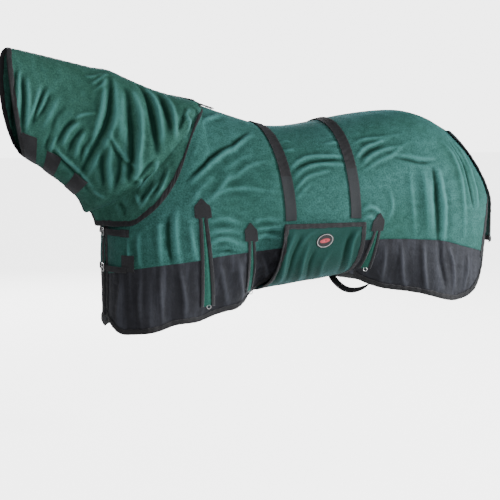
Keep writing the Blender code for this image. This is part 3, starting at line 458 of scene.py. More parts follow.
def neckSkin(side, seed):
    u = np.linspace(0.10, 1.0, 128)
    k = np.concatenate([np.linspace(-1, 0, 46)[:-1], np.linspace(0, 1, 126)])
    gridU, gridK = np.meshgrid(u, k, indexing="ij")
    base = neckBase(gridU, gridK)
    calm = (ramp(-0.75, -0.35, k) * ramp(0.30, 0.12, k))[None, :, None]
    for _ in range(60):  # the cover rounds over the neck opening, with no crease there
        softer = base.copy()
        softer[:, 1:-1] = 0.5 * base[:, 1:-1] + 0.25 * (base[:, :-2] + base[:, 2:])
        base = base + (softer - base) * calm
    fade = ramp(0.0, 0.03, np.abs(base[..., 1]))
    rounded = dict(first=u, second=k, points=base)
    heights = foldField(base, lambda a, b: readSkin(rounded, a, b, "points")[0], neckFolds, seed)
    heights += 0.0040 * noiseField(base, (4.5, 4.5, 4.5), 11 + seed)
    heights += 0.0020 * noiseField(base, (17, 17, 12), 12 + seed)
    heights += 0.0012 * noiseField(base, (45, 45, 30), 13 + seed)
    heights = np.where(gridK < 0, np.maximum(heights, -0.006), heights)
    return makeSkin(u, k, base, heights * fade, side, 1.0)


sides = dict(left=-1, right=1)
bodySkins = {name: bodySkin(sign, 0 if sign < 0 else 5) for name, sign in sides.items()}
neckSkins = {name: neckSkin(sign, 0 if sign < 0 else 6) for name, sign in sides.items()}
print("surfaces", bodySkins["left"]["points"].shape, neckSkins["left"]["points"].shape)


# materials: shared effects are groups, each shader stays in its own material
def newGroup(name, inputs, outputs):
    group = bpy.data.node_groups.new(name, "ShaderNodeTree")
    for label, kind, value in inputs:
        socket = group.interface.new_socket(label, in_out="INPUT", socket_type=kind)
        if value is not None:
            socket.default_value = value
    for label, kind in outputs:
        group.interface.new_socket(label, in_out="OUTPUT", socket_type=kind)
    return group, group.nodes.new("NodeGroupInput"), group.nodes.new("NodeGroupOutput")


def mathNode(tree, operation, first, second=None, clamp=False):
    node = tree.nodes.new("ShaderNodeMath")
    node.operation = operation
    node.use_clamp = clamp
    for socket, value in zip(node.inputs, (first, second)):
        if value is None:
            continue
        if isinstance(value, (int, float)):
            socket.default_value = value
        else:
            tree.links.new(value, socket)
    return node.outputs[0]


def mixNode(tree, factor, first, second):
    node = tree.nodes.new("ShaderNodeMix")
    node.data_type = "RGBA"
    for socket, value in zip((node.inputs[0], node.inputs[6], node.inputs[7]), (factor, first, second)):
        if isinstance(value, (int, float)):
            socket.default_value = value
        elif isinstance(value, tuple):
            socket.default_value = (*value, 1.0)
        else:
            tree.links.new(value, socket)
    return node.outputs[2]


def weaveGroup():
    group, taken, given = newGroup(
        "weave", [("Vector", "NodeSocketVector", None), ("Pitch", "NodeSocketFloat", 0.002),
                  ("Slant", "NodeSocketFloat", 0.0)],
        [("Height", "NodeSocketFloat"), ("Gap", "NodeSocketFloat")])
    split = group.nodes.new("ShaderNodeSeparateXYZ")
    group.links.new(taken.outputs["Vector"], split.inputs[0])
    leaning = mathNode(group, "MULTIPLY", split.outputs[1], taken.outputs["Slant"])
    waves = []
    for source in (mathNode(group, "ADD", split.outputs[0], leaning), split.outputs[1]):
        turns = mathNode(group, "DIVIDE", source, taken.outputs["Pitch"])
        waves.append(mathNode(group, "ABSOLUTE", mathNode(group, "SINE", mathNode(group, "MULTIPLY", turns, math.pi))))
    height = mathNode(group, "MULTIPLY", waves[0], waves[1])
    group.links.new(mathNode(group, "POWER", height, 0.6), given.inputs["Height"])
    group.links.new(mathNode(group, "SUBTRACT", 1.0, mathNode(group, "MULTIPLY", height, 3.2), clamp=True),
                    given.inputs["Gap"])
    return group


def ribGroup():
    group, taken, given = newGroup(
        "ribs", [("Vector", "NodeSocketVector", None), ("Pitch", "NodeSocketFloat", 0.0016)],
        [("Height", "NodeSocketFloat")])
    split = group.nodes.new("ShaderNodeSeparateXYZ")
    group.links.new(taken.outputs["Vector"], split.inputs[0])
    pieces = []
    for lean in (1.0, -1.0):
        slanted = mathNode(group, "ADD", split.outputs[0], mathNode(group, "MULTIPLY", split.outputs[1], lean))
        turns = mathNode(group, "DIVIDE", slanted, taken.outputs["Pitch"])
        pieces.append(mathNode(group, "ABSOLUTE", mathNode(group, "SINE", mathNode(group, "MULTIPLY", turns, math.pi))))
    group.links.new(mathNode(group, "MAXIMUM", pieces[0], pieces[1]), given.inputs["Height"])
    return group


def mottleGroup():
    group, taken, given = newGroup(
        "mottle", [("Vector", "NodeSocketVector", None), ("Broad", "NodeSocketFloat", 3.0),
                   ("Fine", "NodeSocketFloat", 90.0)],
        [("Broad", "NodeSocketFloat"), ("Fine", "NodeSocketFloat")])
    for label, detail in (("Broad", 4.0), ("Fine", 3.0)):
        cloud = group.nodes.new("ShaderNodeTexNoise")
        cloud.inputs["Detail"].default_value = detail
        cloud.inputs["Roughness"].default_value = 0.6
        group.links.new(taken.outputs["Vector"], cloud.inputs["Vector"])
        group.links.new(taken.outputs[label], cloud.inputs["Scale"])
        spread = group.nodes.new("ShaderNodeMapRange")
        spread.inputs["From Min"].default_value = 0.32
        spread.inputs["From Max"].default_value = 0.68
        group.links.new(cloud.outputs["Fac"], spread.inputs["Value"])
        group.links.new(spread.outputs["Result"], given.inputs[label])
    return group


def stitchGroup():
    group, taken, given = newGroup(
        "stitches", [("Vector", "NodeSocketVector", None), ("Row", "NodeSocketFloat", 0.003),
                     ("Pitch", "NodeSocketFloat", 0.0042), ("Thick", "NodeSocketFloat", 0.0005)],
        [("Thread", "NodeSocketFloat")])
    split = group.nodes.new("ShaderNodeSeparateXYZ")
    group.links.new(taken.outputs["Vector"], split.inputs[0])
    away = mathNode(group, "ABSOLUTE", mathNode(group, "SUBTRACT", split.outputs[1], taken.outputs["Row"]))
    onRow = mathNode(group, "LESS_THAN", away, taken.outputs["Thick"])
    turns = mathNode(group, "FRACT", mathNode(group, "DIVIDE", split.outputs[0], taken.outputs["Pitch"]))
    dash = mathNode(group, "LESS_THAN", turns, 0.68)
    group.links.new(mathNode(group, "MULTIPLY", onRow, dash), given.inputs["Thread"])
    return group


groups = dict(weave=weaveGroup(), ribs=ribGroup(), mottle=mottleGroup(), stitches=stitchGroup())


def placeGroup(tree, name, vector, **values):
    node = tree.nodes.new("ShaderNodeGroup")
    node.node_tree = groups[name]
    tree.links.new(vector, node.inputs["Vector"])
    for label, value in values.items():
        node.inputs[label].default_value = value
    return node


def bumpNode(tree, height, strength, distance, under=None):
    node = tree.nodes.new("ShaderNodeBump")
    node.inputs["Strength"].default_value = strength
    node.inputs["Distance"].default_value = distance
    tree.links.new(height, node.inputs["Height"])
    if under is not None:
        tree.links.new(under, node.inputs["Normal"])
    return node.outputs["Normal"]


def startMaterial(name, **constants):
    material = bpy.data.materials.new(name)
    material.use_nodes = True
    tree = material.node_tree
    shader = tree.nodes["Principled BSDF"]
    for label, value in constants.items():
        shader.inputs[label.replace("_", " ")].default_value = value
    where = tree.nodes.new("ShaderNodeTexCoord")
    return material, tree, shader, where


def clothMaterial(name, look):
    # fine cloth: broad and fine colour changes, dark gaps between the yarns, painted shade in the bottoms of folds and
    # a painted highlight on their crests, a crumpled surface
    material, tree, shader, where = startMaterial(
        name, Metallic=0.0, Specular_IOR_Level=look["specular"], Specular_Tint=(*look["sheenTint"], 1.0),
        Sheen_Weight=look["sheen"], Sheen_Roughness=look["sheenRough"], Sheen_Tint=(*look["sheenTint"], 1.0))
    cloud = placeGroup(tree, "mottle", where.outputs["Object"], Broad=look["broad"], Fine=look["fine"])
    yarn = placeGroup(tree, "weave", where.outputs["UV"], Pitch=look["pitch"], Slant=look["slant"])
    colour = mixNode(tree, cloud.outputs["Broad"], look["low"], look["high"])
    colour = mixNode(tree, mathNode(tree, "MULTIPLY", cloud.outputs["Fine"], look["speck"]), colour,
                     look["speckColour"])
    colour = mixNode(tree, mathNode(tree, "MULTIPLY", yarn.outputs["Gap"], look["gap"]), colour,
                     look["gapColour"])
    # painted shade in the bottoms of folds and a painted highlight on their crests, driven by the fold mask attribute
    crease = tree.nodes.new("ShaderNodeAttribute")
    crease.attribute_name = "foldShading"
    valleyShade = mathNode(tree, "MULTIPLY", crease.outputs["Fac"], -look["valleyShade"], clamp=True)
    crest = mathNode(tree, "MULTIPLY", crease.outputs["Fac"], look["crest"], clamp=True)
    colour = mixNode(tree, valleyShade, colour, look["valleyShadeColour"])
    colour = mixNode(tree, crest, colour, look["crestHighlightColour"])
    if look.get("streaks"):
        stretch = tree.nodes.new("ShaderNodeMapping")
        stretch.inputs["Scale"].default_value = (1.0, 1.0, 0.12)
        tree.links.new(where.outputs["Object"], stretch.inputs["Vector"])
        lines = placeGroup(tree, "mottle", stretch.outputs["Vector"], Broad=26.0, Fine=70.0)
        streak = mathNode(tree, "MULTIPLY", mathNode(tree, "POWER", lines.outputs["Broad"], 2.5), look["streaks"])
        colour = mixNode(tree, streak, colour, look["streakColour"])
    tree.links.new(colour, shader.inputs["Base Color"])
    rough = mathNode(tree, "ADD", mathNode(tree, "MULTIPLY", cloud.outputs["Fine"], 0.14), look["rough"])
    tree.links.new(rough, shader.inputs["Roughness"])
    relief = bumpNode(tree, cloud.outputs["Fine"], look["crumple"], 0.0012)
    relief = bumpNode(tree, yarn.outputs["Height"], look["relief"], 0.0004, relief)
    tree.links.new(relief, shader.inputs["Normal"])
    return material


def tapeMaterial(name, look):
    # woven tape: slanted ribs, a line of stitching along both edges, fluff and wear
    material, tree, shader, where = startMaterial(
        name, Metallic=0.0, Specular_IOR_Level=0.25, Sheen_Weight=look["sheen"], Sheen_Roughness=0.5,
        Sheen_Tint=(0.75, 0.78, 0.85, 1.0))
    cloud = placeGroup(tree, "mottle", where.outputs["Object"], Broad=14.0, Fine=260.0)
    rib = placeGroup(tree, "ribs", where.outputs["UV"], Pitch=look["pitch"])
    colour = mixNode(tree, cloud.outputs["Broad"], look["low"], look["high"])
    colour = mixNode(tree, mathNode(tree, "MULTIPLY", cloud.outputs["Fine"], 0.35), colour, look["worn"])
    height = rib.outputs["Height"]
    for row in look["rows"]:
        thread = placeGroup(tree, "stitches", where.outputs["UV"], Row=row).outputs["Thread"]
        colour = mixNode(tree, thread, colour, look["thread"])
        height = mathNode(tree, "ADD", height, mathNode(tree, "MULTIPLY", thread, 1.5))
    if "seam" in look:
        split = tree.nodes.new("ShaderNodeSeparateXYZ")
        tree.links.new(where.outputs["Object"], split.inputs[0])
        below = mathNode(tree, "LESS_THAN", split.outputs[2], look["seam"])
        colour = mixNode(tree, mathNode(tree, "MULTIPLY", below, 0.75), colour, look["lower"])
    tree.links.new(colour, shader.inputs["Base Color"])
    rough = mathNode(tree, "ADD", mathNode(tree, "MULTIPLY", cloud.outputs["Fine"], 0.2), look["rough"])
    tree.links.new(rough, shader.inputs["Roughness"])
    tree.links.new(bumpNode(tree, height, look["relief"], 0.0004), shader.inputs["Normal"])
    return material


def metalMaterial(name, look):
    material, tree, shader, where = startMaterial(name, Metallic=1.0)
    cloud = placeGroup(tree, "mottle", where.outputs["Object"], Broad=120.0, Fine=900.0)
    tree.links.new(mixNode(tree, cloud.outputs["Broad"], look["low"], look["high"]), shader.inputs["Base Color"])
    rough = mathNode(tree, "ADD", mathNode(tree, "MULTIPLY", cloud.outputs["Fine"], 0.2), look["rough"])
    tree.links.new(rough, shader.inputs["Roughness"])
    tree.links.new(bumpNode(tree, cloud.outputs["Fine"], 0.15, 0.0001), shader.inputs["Normal"])
    return material


# in the cloth looks, the valley colour is painted shade in fold bottoms and the crest colour is a painted highlight on
# fold crests
greenLook = dict(low=(0.026, 0.084, 0.068), high=(0.048, 0.138, 0.130), specular=0.12, sheen=0.10, sheenRough=0.30,
                 sheenTint=(0.30, 0.86, 1.0), broad=2.6, fine=170.0, speck=0.75, speckColour=(0.007, 0.032, 0.024),
                 pitch=0.0020, slant=0.0, gap=0.35, gapColour=(0.006, 0.026, 0.018), rough=0.60, crumple=0.5,
                 relief=0.25, valleyShade=1.15, valleyShadeColour=(0.004, 0.018, 0.011), crest=0.40,
                 crestHighlightColour=(0.080, 0.235, 0.230))
# the neck cover's cloth is a darker, yellower copy of the green cloth: painted shade
neckShadedLook = dict(greenLook, low=(0.022, 0.066, 0.046), high=(0.046, 0.128, 0.102))
# the belly wrap's cloth is a much darker copy of the green cloth: painted shade for a wrap that faces down, and partly
# its thicker cloth
wrapShadedLook = dict(greenLook, low=(0.010, 0.030, 0.024), high=(0.017, 0.048, 0.042), crestHighlightColour=(0.030, 0.095, 0.088))
skirtLook = dict(low=(0.0045, 0.0045, 0.0055), high=(0.0085, 0.0082, 0.0100), specular=0.22, sheen=0.03,
                 sheenRough=0.5, sheenTint=(0.80, 0.85, 1.0), broad=4.0, fine=120.0, speck=0.35,
                 speckColour=(0.017, 0.016, 0.018), pitch=0.0022, slant=0.5, gap=0.5, gapColour=(0.002, 0.002, 0.003),
                 rough=0.55, crumple=0.5, relief=0.35, valleyShade=0.85, valleyShadeColour=(0.002, 0.002, 0.003), crest=0.55,
                 crestHighlightColour=(0.042, 0.045, 0.056), streaks=0.60, streakColour=(0.036, 0.038, 0.048))
tapeLook = dict(low=(0.0045, 0.0045, 0.0055), high=(0.0080, 0.0080, 0.0095), worn=(0.017, 0.017, 0.020), sheen=0.03,
                pitch=0.0016, thread=(0.040, 0.040, 0.045), rows=(0.003,), rough=0.64, relief=0.5)
looks = dict(
    green=clothMaterial("greenMeshCloth", greenLook),
    neck=clothMaterial("neckMeshClothShaded", neckShadedLook),
    wrap=clothMaterial("wrapMeshClothShaded", wrapShadedLook),
    skirt=clothMaterial("blackMeshCloth", skirtLook),
    insert=clothMaterial("gussetCloth", dict(greenLook, low=(0.020, 0.085, 0.062), high=(0.032, 0.120, 0.092))),
    tape=tapeMaterial("boundTape", tapeLook),
    plainTape=tapeMaterial("touchTape", dict(tapeLook, rows=(), pitch=0.0009, rough=0.78, relief=0.8, sheen=0.2)),
    webbing=tapeMaterial("webbing", dict(tapeLook, pitch=0.0024, rows=(0.0025, 0.0225), high=(0.020, 0.020, 0.024))),
    frontStrap=tapeMaterial("frontStrapWebbing", dict(
        tapeLook, pitch=0.0026, rows=(0.003, 0.047), seam=-0.280, lower=(0.015, 0.018, 0.021))),
    rearStrap=tapeMaterial("rearStrapWebbing", dict(
        tapeLook, pitch=0.0026, rows=(0.003, 0.047), seam=-0.250, lower=(0.015, 0.018, 0.021))),
    metal=metalMaterial("platedSteel", dict(low=(0.36, 0.36, 0.37), high=(0.56, 0.56, 0.57), rough=0.22)))


def patchMaterial():
    # woven oval patch: dark field, pale stitched rim and a plain dusty red middle
    look = dict(field=(0.012, 0.012, 0.014), rim=(0.42, 0.42, 0.42), middle=(0.38, 0.045, 0.060))
    material, tree, shader, where = startMaterial("wovenPatch", Metallic=0.0, Specular_IOR_Level=0.3)
    length = tree.nodes.new("ShaderNodeVectorMath")
    length.operation = "LENGTH"
    tree.links.new(where.outputs["UV"], length.inputs[0])
    out = length.outputs["Value"]
    inRim = mathNode(tree, "MULTIPLY", mathNode(tree, "GREATER_THAN", out, 0.86),
                     mathNode(tree, "LESS_THAN", out, 0.91))
    stretch = tree.nodes.new("ShaderNodeMapping")
    stretch.inputs["Scale"].default_value = (1.75, 3.4, 1.0)
    tree.links.new(where.outputs["UV"], stretch.inputs["Vector"])
    inner = tree.nodes.new("ShaderNodeVectorMath")
    inner.operation = "LENGTH"
    tree.links.new(stretch.outputs["Vector"], inner.inputs[0])
    inMiddle = mathNode(tree, "LESS_THAN", inner.outputs["Value"], 1.0)
    colour = mixNode(tree, inMiddle, look["field"], look["middle"])
    colour = mixNode(tree, inRim, colour, look["rim"])
    yarn = placeGroup(tree, "weave", where.outputs["Object"], Pitch=0.0011)
    colour = mixNode(tree, mathNode(tree, "MULTIPLY", yarn.outputs["Gap"], 0.4), colour, (0.01, 0.01, 0.01))
    tree.links.new(colour, shader.inputs["Base Color"])
    tree.links.new(mathNode(tree, "ADD", mathNode(tree, "MULTIPLY", yarn.outputs["Gap"], 0.2), 0.5),
                   shader.inputs["Roughness"])
    tree.links.new(bumpNode(tree, yarn.outputs["Height"], 0.4, 0.0003), shader.inputs["Normal"])
    return material


looks["patch"] = patchMaterial()


# making and placing pieces
def makeActive(piece):
    bpy.ops.object.select_all(action="DESELECT")
    piece.select_set(True)
    bpy.context.view_layer.objects.active = piece


def finishModifiers(piece):
    makeActive(piece)
    for modifier in list(piece.modifiers):
        bpy.ops.object.modifier_apply(modifier=modifier.name)


def clothPiece(name, grid, look, thickness, core, keep=None, testColumns=None, angle=None, tone=None):
    # a sheet from a grid of points, with a wall on its outer side and its UV map in metres
    rows, columns = grid.shape[:2]
    index = np.arange(rows * columns).reshape(rows, columns)
    corners = np.stack([index[:-1, :-1], index[1:, :-1], index[1:, 1:], index[:-1, 1:]], -1)
    test = np.ones(corners.shape[:2], bool) if keep is None else keep.copy()
    used = corners[test]
    flat = grid.reshape(-1, 3)
    if testColumns is not None:
        aside = np.zeros_like(test)
        aside[:, testColumns] = True
        test = test & aside
    probe = corners[test]
    facing = np.cross(flat[probe[:, 1]] - flat[probe[:, 0]], flat[probe[:, 3]] - flat[probe[:, 0]])
    middle = flat[probe].mean(1)
    if np.sum(facing * (middle - core(middle))) < 0.0:
        used = used[:, ::-1]
    alive, renumbered = np.unique(used, return_inverse=True)
    mesh = bpy.data.meshes.new(name)
    mesh.from_pydata(flat[alive].tolist(), [], renumbered.reshape(used.shape).tolist())
    down = np.concatenate([np.zeros((1, columns)), np.cumsum(
        np.linalg.norm(np.diff(grid, axis=0), axis=2), axis=0)])
    across = np.concatenate([np.zeros((rows, 1)), np.cumsum(
        np.linalg.norm(np.diff(grid, axis=1), axis=2), axis=1)], axis=1)
    chart = np.stack([down, across], -1).reshape(-1, 2)[alive]
    layer = mesh.uv_layers.new(name="UVMap")
    loops = np.empty(len(mesh.loops), np.int32)
    mesh.loops.foreach_get("vertex_index", loops)
    layer.data.foreach_set("uv", chart[loops].astype(np.float32).ravel())
    # the mask for the painted fold shade and highlight, stored as a point attribute
    if tone is not None:
        crease = mesh.attributes.new("foldShading", "FLOAT", "POINT")
        crease.data.foreach_set("value", tone.reshape(-1)[alive].astype(np.float32))
    mesh.polygons.foreach_set("use_smooth", np.ones(len(mesh.polygons), bool))
    mesh.update()
    piece = bpy.data.objects.new(name, mesh)
    bpy.context.scene.collection.objects.link(piece)
    mesh.materials.append(look)
    wall = piece.modifiers.new("wall", "SOLIDIFY")
    wall.thickness = thickness
    wall.offset = 1.0
    finishModifiers(piece)
    if angle:
        makeActive(piece)
        bpy.ops.object.shade_smooth_by_angle(angle=math.radians(angle))
    return piece


def joinPieces(pieces, name):
    makeActive(pieces[0])
    for part in pieces:
        part.select_set(True)
    bpy.ops.object.join()
    joined = bpy.context.object
    joined.name = name
    return joined


def place(piece, body, slot, *nodes):
    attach(piece, body)
    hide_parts(*nodes)


def spread(low, high, steps):
    return np.linspace(low, high, steps + 1)


bindingProfile = dict(  # distance in from the edge as a share of the width, and height in metres
    inward=(1.0, 0.97, 0.72, 0.45, 0.18, 0.02), outerLift=(0.0014, 0.0020, 0.0024, 0.0024, 0.0023, 0.0019),
    overEdge=0.0016, innerLift=(-0.0008, -0.0012, -0.0012, -0.0012, -0.0008), pucker=0.0006)


def bindEdge(at, stations, width, inner=True):
    # folded tape over an edge; at(station, inward distance, lift) gives its points
    form = bindingProfile
    inward = [f * width for f in form["inward"]]
    lifts = list(form["outerLift"])
    if inner:
        inward += [-form["overEdge"]] * 2 + [f * width for f in (0.02, 0.3, 0.6, 0.9, 0.97)]
        lifts += [0.0010, 0.0000] + list(form["innerLift"])
    stations = np.asarray(stations, float)
    inward, lifts = np.array(inward)[None, :], np.array(lifts)[None, :]
    line = at(stations[:, None], 0.0 * stations[:, None], 0.0 * stations[:, None])[:, 0]
    run = np.concatenate([[0.0], np.cumsum(np.linalg.norm(np.diff(line, axis=0), axis=1))])[:, None]
    pucker = form["pucker"] * (np.sin(run * 2 * np.pi / 0.031) + 0.8 * np.sin(run * 2 * np.pi / 0.0713 + 1.0))
    wobble = 1.0 + 0.05 * np.sin(run * 2 * np.pi / 0.093) + 0.04 * np.sin(run * 2 * np.pi / 0.041 + 2)
    return at(stations[:, None] + 0 * inward, inward * np.where(inward > 0.3 * width, wobble, 1.0),
              lifts + np.where(lifts > 0, pucker, 0.0))


def keepSide(grid, side, gap=0.0):
    # keeps a left or right piece on its own side of the centre line
    grid[..., 1] = np.where(grid[..., 1] * side < gap, side * gap, grid[..., 1])
    return grid


# body, skirt and their bindings
bodySetup = dict(columns=350, bodyRows=118, skirtRows=46, bindingWidth=0.022, seamLap=0.006)


def lean(name, t):
    g = rugShape
    share = (curveThrough(g["rearEdge"], t) - g["rumpX"]) / g["rearFan"]
    return np.where(name <= g["rumpX"], name, g["rumpX"] + (name - g["rumpX"]) * share)


def seamT(name):
    s = lean(name, 1.2)
    return tAtLevel(s, curveThrough(rugShape["skirtLine"], s))


def hemT(name):
    s = lean(name, 1.2)
    return tAtLevel(s, curveThrough(rugShape["hemLine"], s))


def bodyBand(skin, topT, bottomT, columns, rows, lift=0.0):
    names = spread(-rugShape["frontFan"], rugShape["rumpX"] + rugShape["rearFan"], columns)
    share = np.linspace(0, 1, rows + 1)[:, None]
    top, bottom = topT(names)[None, :], bottomT(names)[None, :]
    t = top + (bottom - top) * share
    s = lean(names[None, :] + 0 * t, t)
    # the second value is the mask for the painted fold shade and highlight
    return onSkin(skin, s, t, lift), foldShadeAt(skin, s, t)


def buildBody(side, sign):
    setup, skin = bodySetup, bodySkins[side]
    grid, tone = bodyBand(skin, lambda n: 0.0 * n, seamT, setup["columns"], setup["bodyRows"])
    panel = clothPiece(f"bodyCloth_{side}", keepSide(grid, sign), looks["green"], layers["cloth"], bodyCore,
                       tone=tone)
    place(panel, "rug", "green_mesh", f"body_panel_{side}")
    lap = setup["seamLap"]
    grid, tone = bodyBand(skin, lambda n: seamT(n) - lap, hemT, setup["columns"], setup["skirtRows"], -0.0013)
    skirt = clothPiece(f"skirtCloth_{side}", keepSide(grid, sign), looks["skirt"], 0.0010, bodyCore, tone=tone)
    place(skirt, "rug", "skirt_mesh", f"skirt_panel_{side}")

    names = spread(-rugShape["frontFan"], rugShape["rumpX"] + rugShape["rearFan"], 520)

    def hemAt(name, inward, lift):
        step = 0.01
        slope = (curveThrough(rugShape["hemLine"], lean(name, 1.2) + step)
                 - curveThrough(rugShape["hemLine"], lean(name, 1.2) - step)) / (2 * step)
        t = hemT(name) - inward * np.minimum(np.hypot(1.0, slope), 1.25)
        return onSkin(skin, lean(name, t), t, lift)

    grid = keepSide(bindEdge(hemAt, names, setup["bindingWidth"]), sign, 0.0004)
    hem = clothPiece(f"hemTape_{side}", grid, looks["tape"], layers["tape"], bodyCore, testColumns=slice(0, 3))
    place(hem, "rug", "binding", f"hem_binding_{side}")

    outer = -rugShape["frontFan"]

    def frontAt(t, inward, lift):
        return onSkin(skin, outer + np.maximum(inward, 0.0), t, lift)

    stops = spread(0.30, float(hemT(np.array(outer))) - setup["bindingWidth"] * 0.9, 110)
    grid = keepSide(bindEdge(frontAt, stops, setup["bindingWidth"], inner=False), sign, 0.0006)
    front = clothPiece(f"frontTape_{side}", grid, looks["tape"], layers["tape"], bodyCore)
    place(front, "rug", "binding", f"front_binding_{side}")

    def rearAt(t, inward, lift):
        return onSkin(skin, curveThrough(rugShape["rearEdge"], t) - inward * 1.6, t, lift)

    last = np.array(rugShape["rumpX"] + rugShape["rearFan"])
    stops = spread(0.56, float(hemT(last)), 150)
    grid = keepSide(bindEdge(rearAt, stops, setup["bindingWidth"]), sign)
    rear = clothPiece(f"rearTape_{side}", grid, looks["tape"], layers["tape"], bodyCore, testColumns=slice(0, 3))
    place(rear, "rug", "binding", f"rear_binding_{side}")
    return panel, skirt, [hem, front, rear]


# gussets with their tapes and rings
gussetSetup = dict(
    places=[(-0.106, -0.070, -0.368, 0.080, -0.834), (0.041, 0.078, -0.474, 0.078, -0.783),
            (0.645, 0.616, -0.446, 0.078, -0.698)],
    halfTop=0.006, halfFoot=0.020, tape=0.012, tabHalf=0.029, rows=90)


def buildGusset(side, number, spot):
    setup, skin = gussetSetup, bodySkins[side]
    tipS, footS, tipZ, tab, footZ = spot

    def at(z, offset, lift):
        f = (tipZ - z) / (tipZ - footZ)
        s = tipS + (footS - tipS) * f + offset
        return onSkin(skin, s, tAtLevel(s, z), lift)

    def slitHalf(z):
        return setup["halfTop"] + (setup["halfFoot"] - setup["halfTop"]) * (tipZ - z) / (tipZ - footZ)

    z = spread(tipZ - tab * 0.6, footZ, setup["rows"])[:, None]
    across = np.linspace(-1, 1, 9)[None, :]
    pleat = 0.0018 * np.cos(across * np.pi * 1.5)
    grid = at(z + 0 * across, across * slitHalf(z), layers["insertLift"] + 0.0004 + pleat * (z < tipZ - tab))
    insert = clothPiece(f"gussetCloth_{side}_{number}", grid, looks["insert"], 0.0008, bodyCore)
    place(insert, "rug", "insert_cloth", f"gusset_insert_{side}_{number}")

    levels = [tipZ - tab * f for f in (0.0, 0.03, 0.16, 0.30, 0.33, 0.45, 0.60, 0.75, 0.90, 0.985, 1.0)]
    halves = [setup["tabHalf"] * f for f in (0.06, 0.14, 0.42, 0.70, 0.86, 0.98, 1.0, 1.0, 1.0, 0.99, 0.96)]
    shares = np.array([-1.0, -0.96, -0.68, -0.35, -0.30, 0.30, 0.35, 0.68, 0.96, 1.0])
    rows, fronts = [], []
    for level, half in zip(levels, halves):
        rows.append((level, shares * half))
        fronts.append(True)
    for level in spread(tipZ - tab, footZ + 0.001, setup["rows"])[1:]:
        half = float(slitHalf(level))
        outer, inner = half + setup["tape"] / 2, half - setup["tape"] / 2
        strip = np.array([outer, outer - 0.0006, outer - 0.004, outer - 0.009, inner])
        rows.append((level, np.concatenate([-strip, strip[::-1]])))
        fronts.append(False)
    z = np.array([row[0] for row in rows])[:, None]
    offsets = np.array([row[1] for row in rows])
    rounding = np.array([0.0, 0.0007, 0.0010, 0.0010, 0.0, 0.0, 0.0010, 0.0010, 0.0007, 0.0])[None, :]
    plump = np.where(np.array(fronts)[:, None], 0.0009, rounding)
    grid = at(z + 0 * offsets, offsets, layers["gussetLift"] + plump)
    keep = np.ones((len(rows) - 1, 9), bool)
    keep[len(levels) - 1:, 4] = False
    tape = clothPiece(f"gussetTape_{side}_{number}", grid, looks["plainTape"], 0.0011, bodyCore, keep=keep)
    place(tape, "rug", "binding", f"gusset_tape_{side}_{number}")
    return insert, tape


def modelRing():
    # a small D ring, upright in the XZ plane and hanging from its top bar at the origin
    look = dict(radius=0.0090, wire=0.0016, around=56, section=14, barShare=0.45)
    bpy.ops.object.select_all(action="DESELECT")
    bpy.ops.mesh.primitive_torus_add(
        major_segments=look["around"], minor_segments=look["section"], major_radius=look["radius"],
        minor_radius=look["wire"], location=(0, 0, -look["radius"]), rotation=(math.pi / 2, 0, 0))
    ring = bpy.context.object
    bpy.ops.object.transform_apply(location=True, rotation=True, scale=True)
    bpy.ops.object.mode_set(mode="EDIT")
    sheetEdit = bmesh.from_edit_mesh(ring.data)
    for vertex in sheetEdit.verts:
        vertex.select = vertex.co.z > -look["radius"] * look["barShare"]
    sheetEdit.select_flush_mode()
    bmesh.update_edit_mesh(ring.data)
    bpy.ops.transform.resize(value=(1.0, 1.0, 0.55), center_override=(0, 0, -look["radius"] * look["barShare"]))
    bpy.ops.mesh.select_all(action="SELECT")
    bpy.ops.transform.translate(value=(0, 0, look["radius"] * look["barShare"] * 0.30))
    bpy.ops.object.mode_set(mode="OBJECT")
    bpy.ops.object.shade_smooth()
    ring.data.materials.append(looks["metal"])
    return ring


def copyPiece(model, name, offset):
    piece = bpy.data.objects.new(name, model.data.copy())
    bpy.context.scene.collection.objects.link(piece)
    piece.data.transform(Matrix.Translation(offset))
    return piece


# neck cover, its bindings, tape and tabs
neckSetup = dict(columns=150, rows=150, bindingWidth=0.020, tabs=((0.37, 0.795), (0.66, 0.755), (0.892, 0.705)),
                 tabHalf=0.068)


def neckLength(u):
    return 0.86 - 0.48 * u


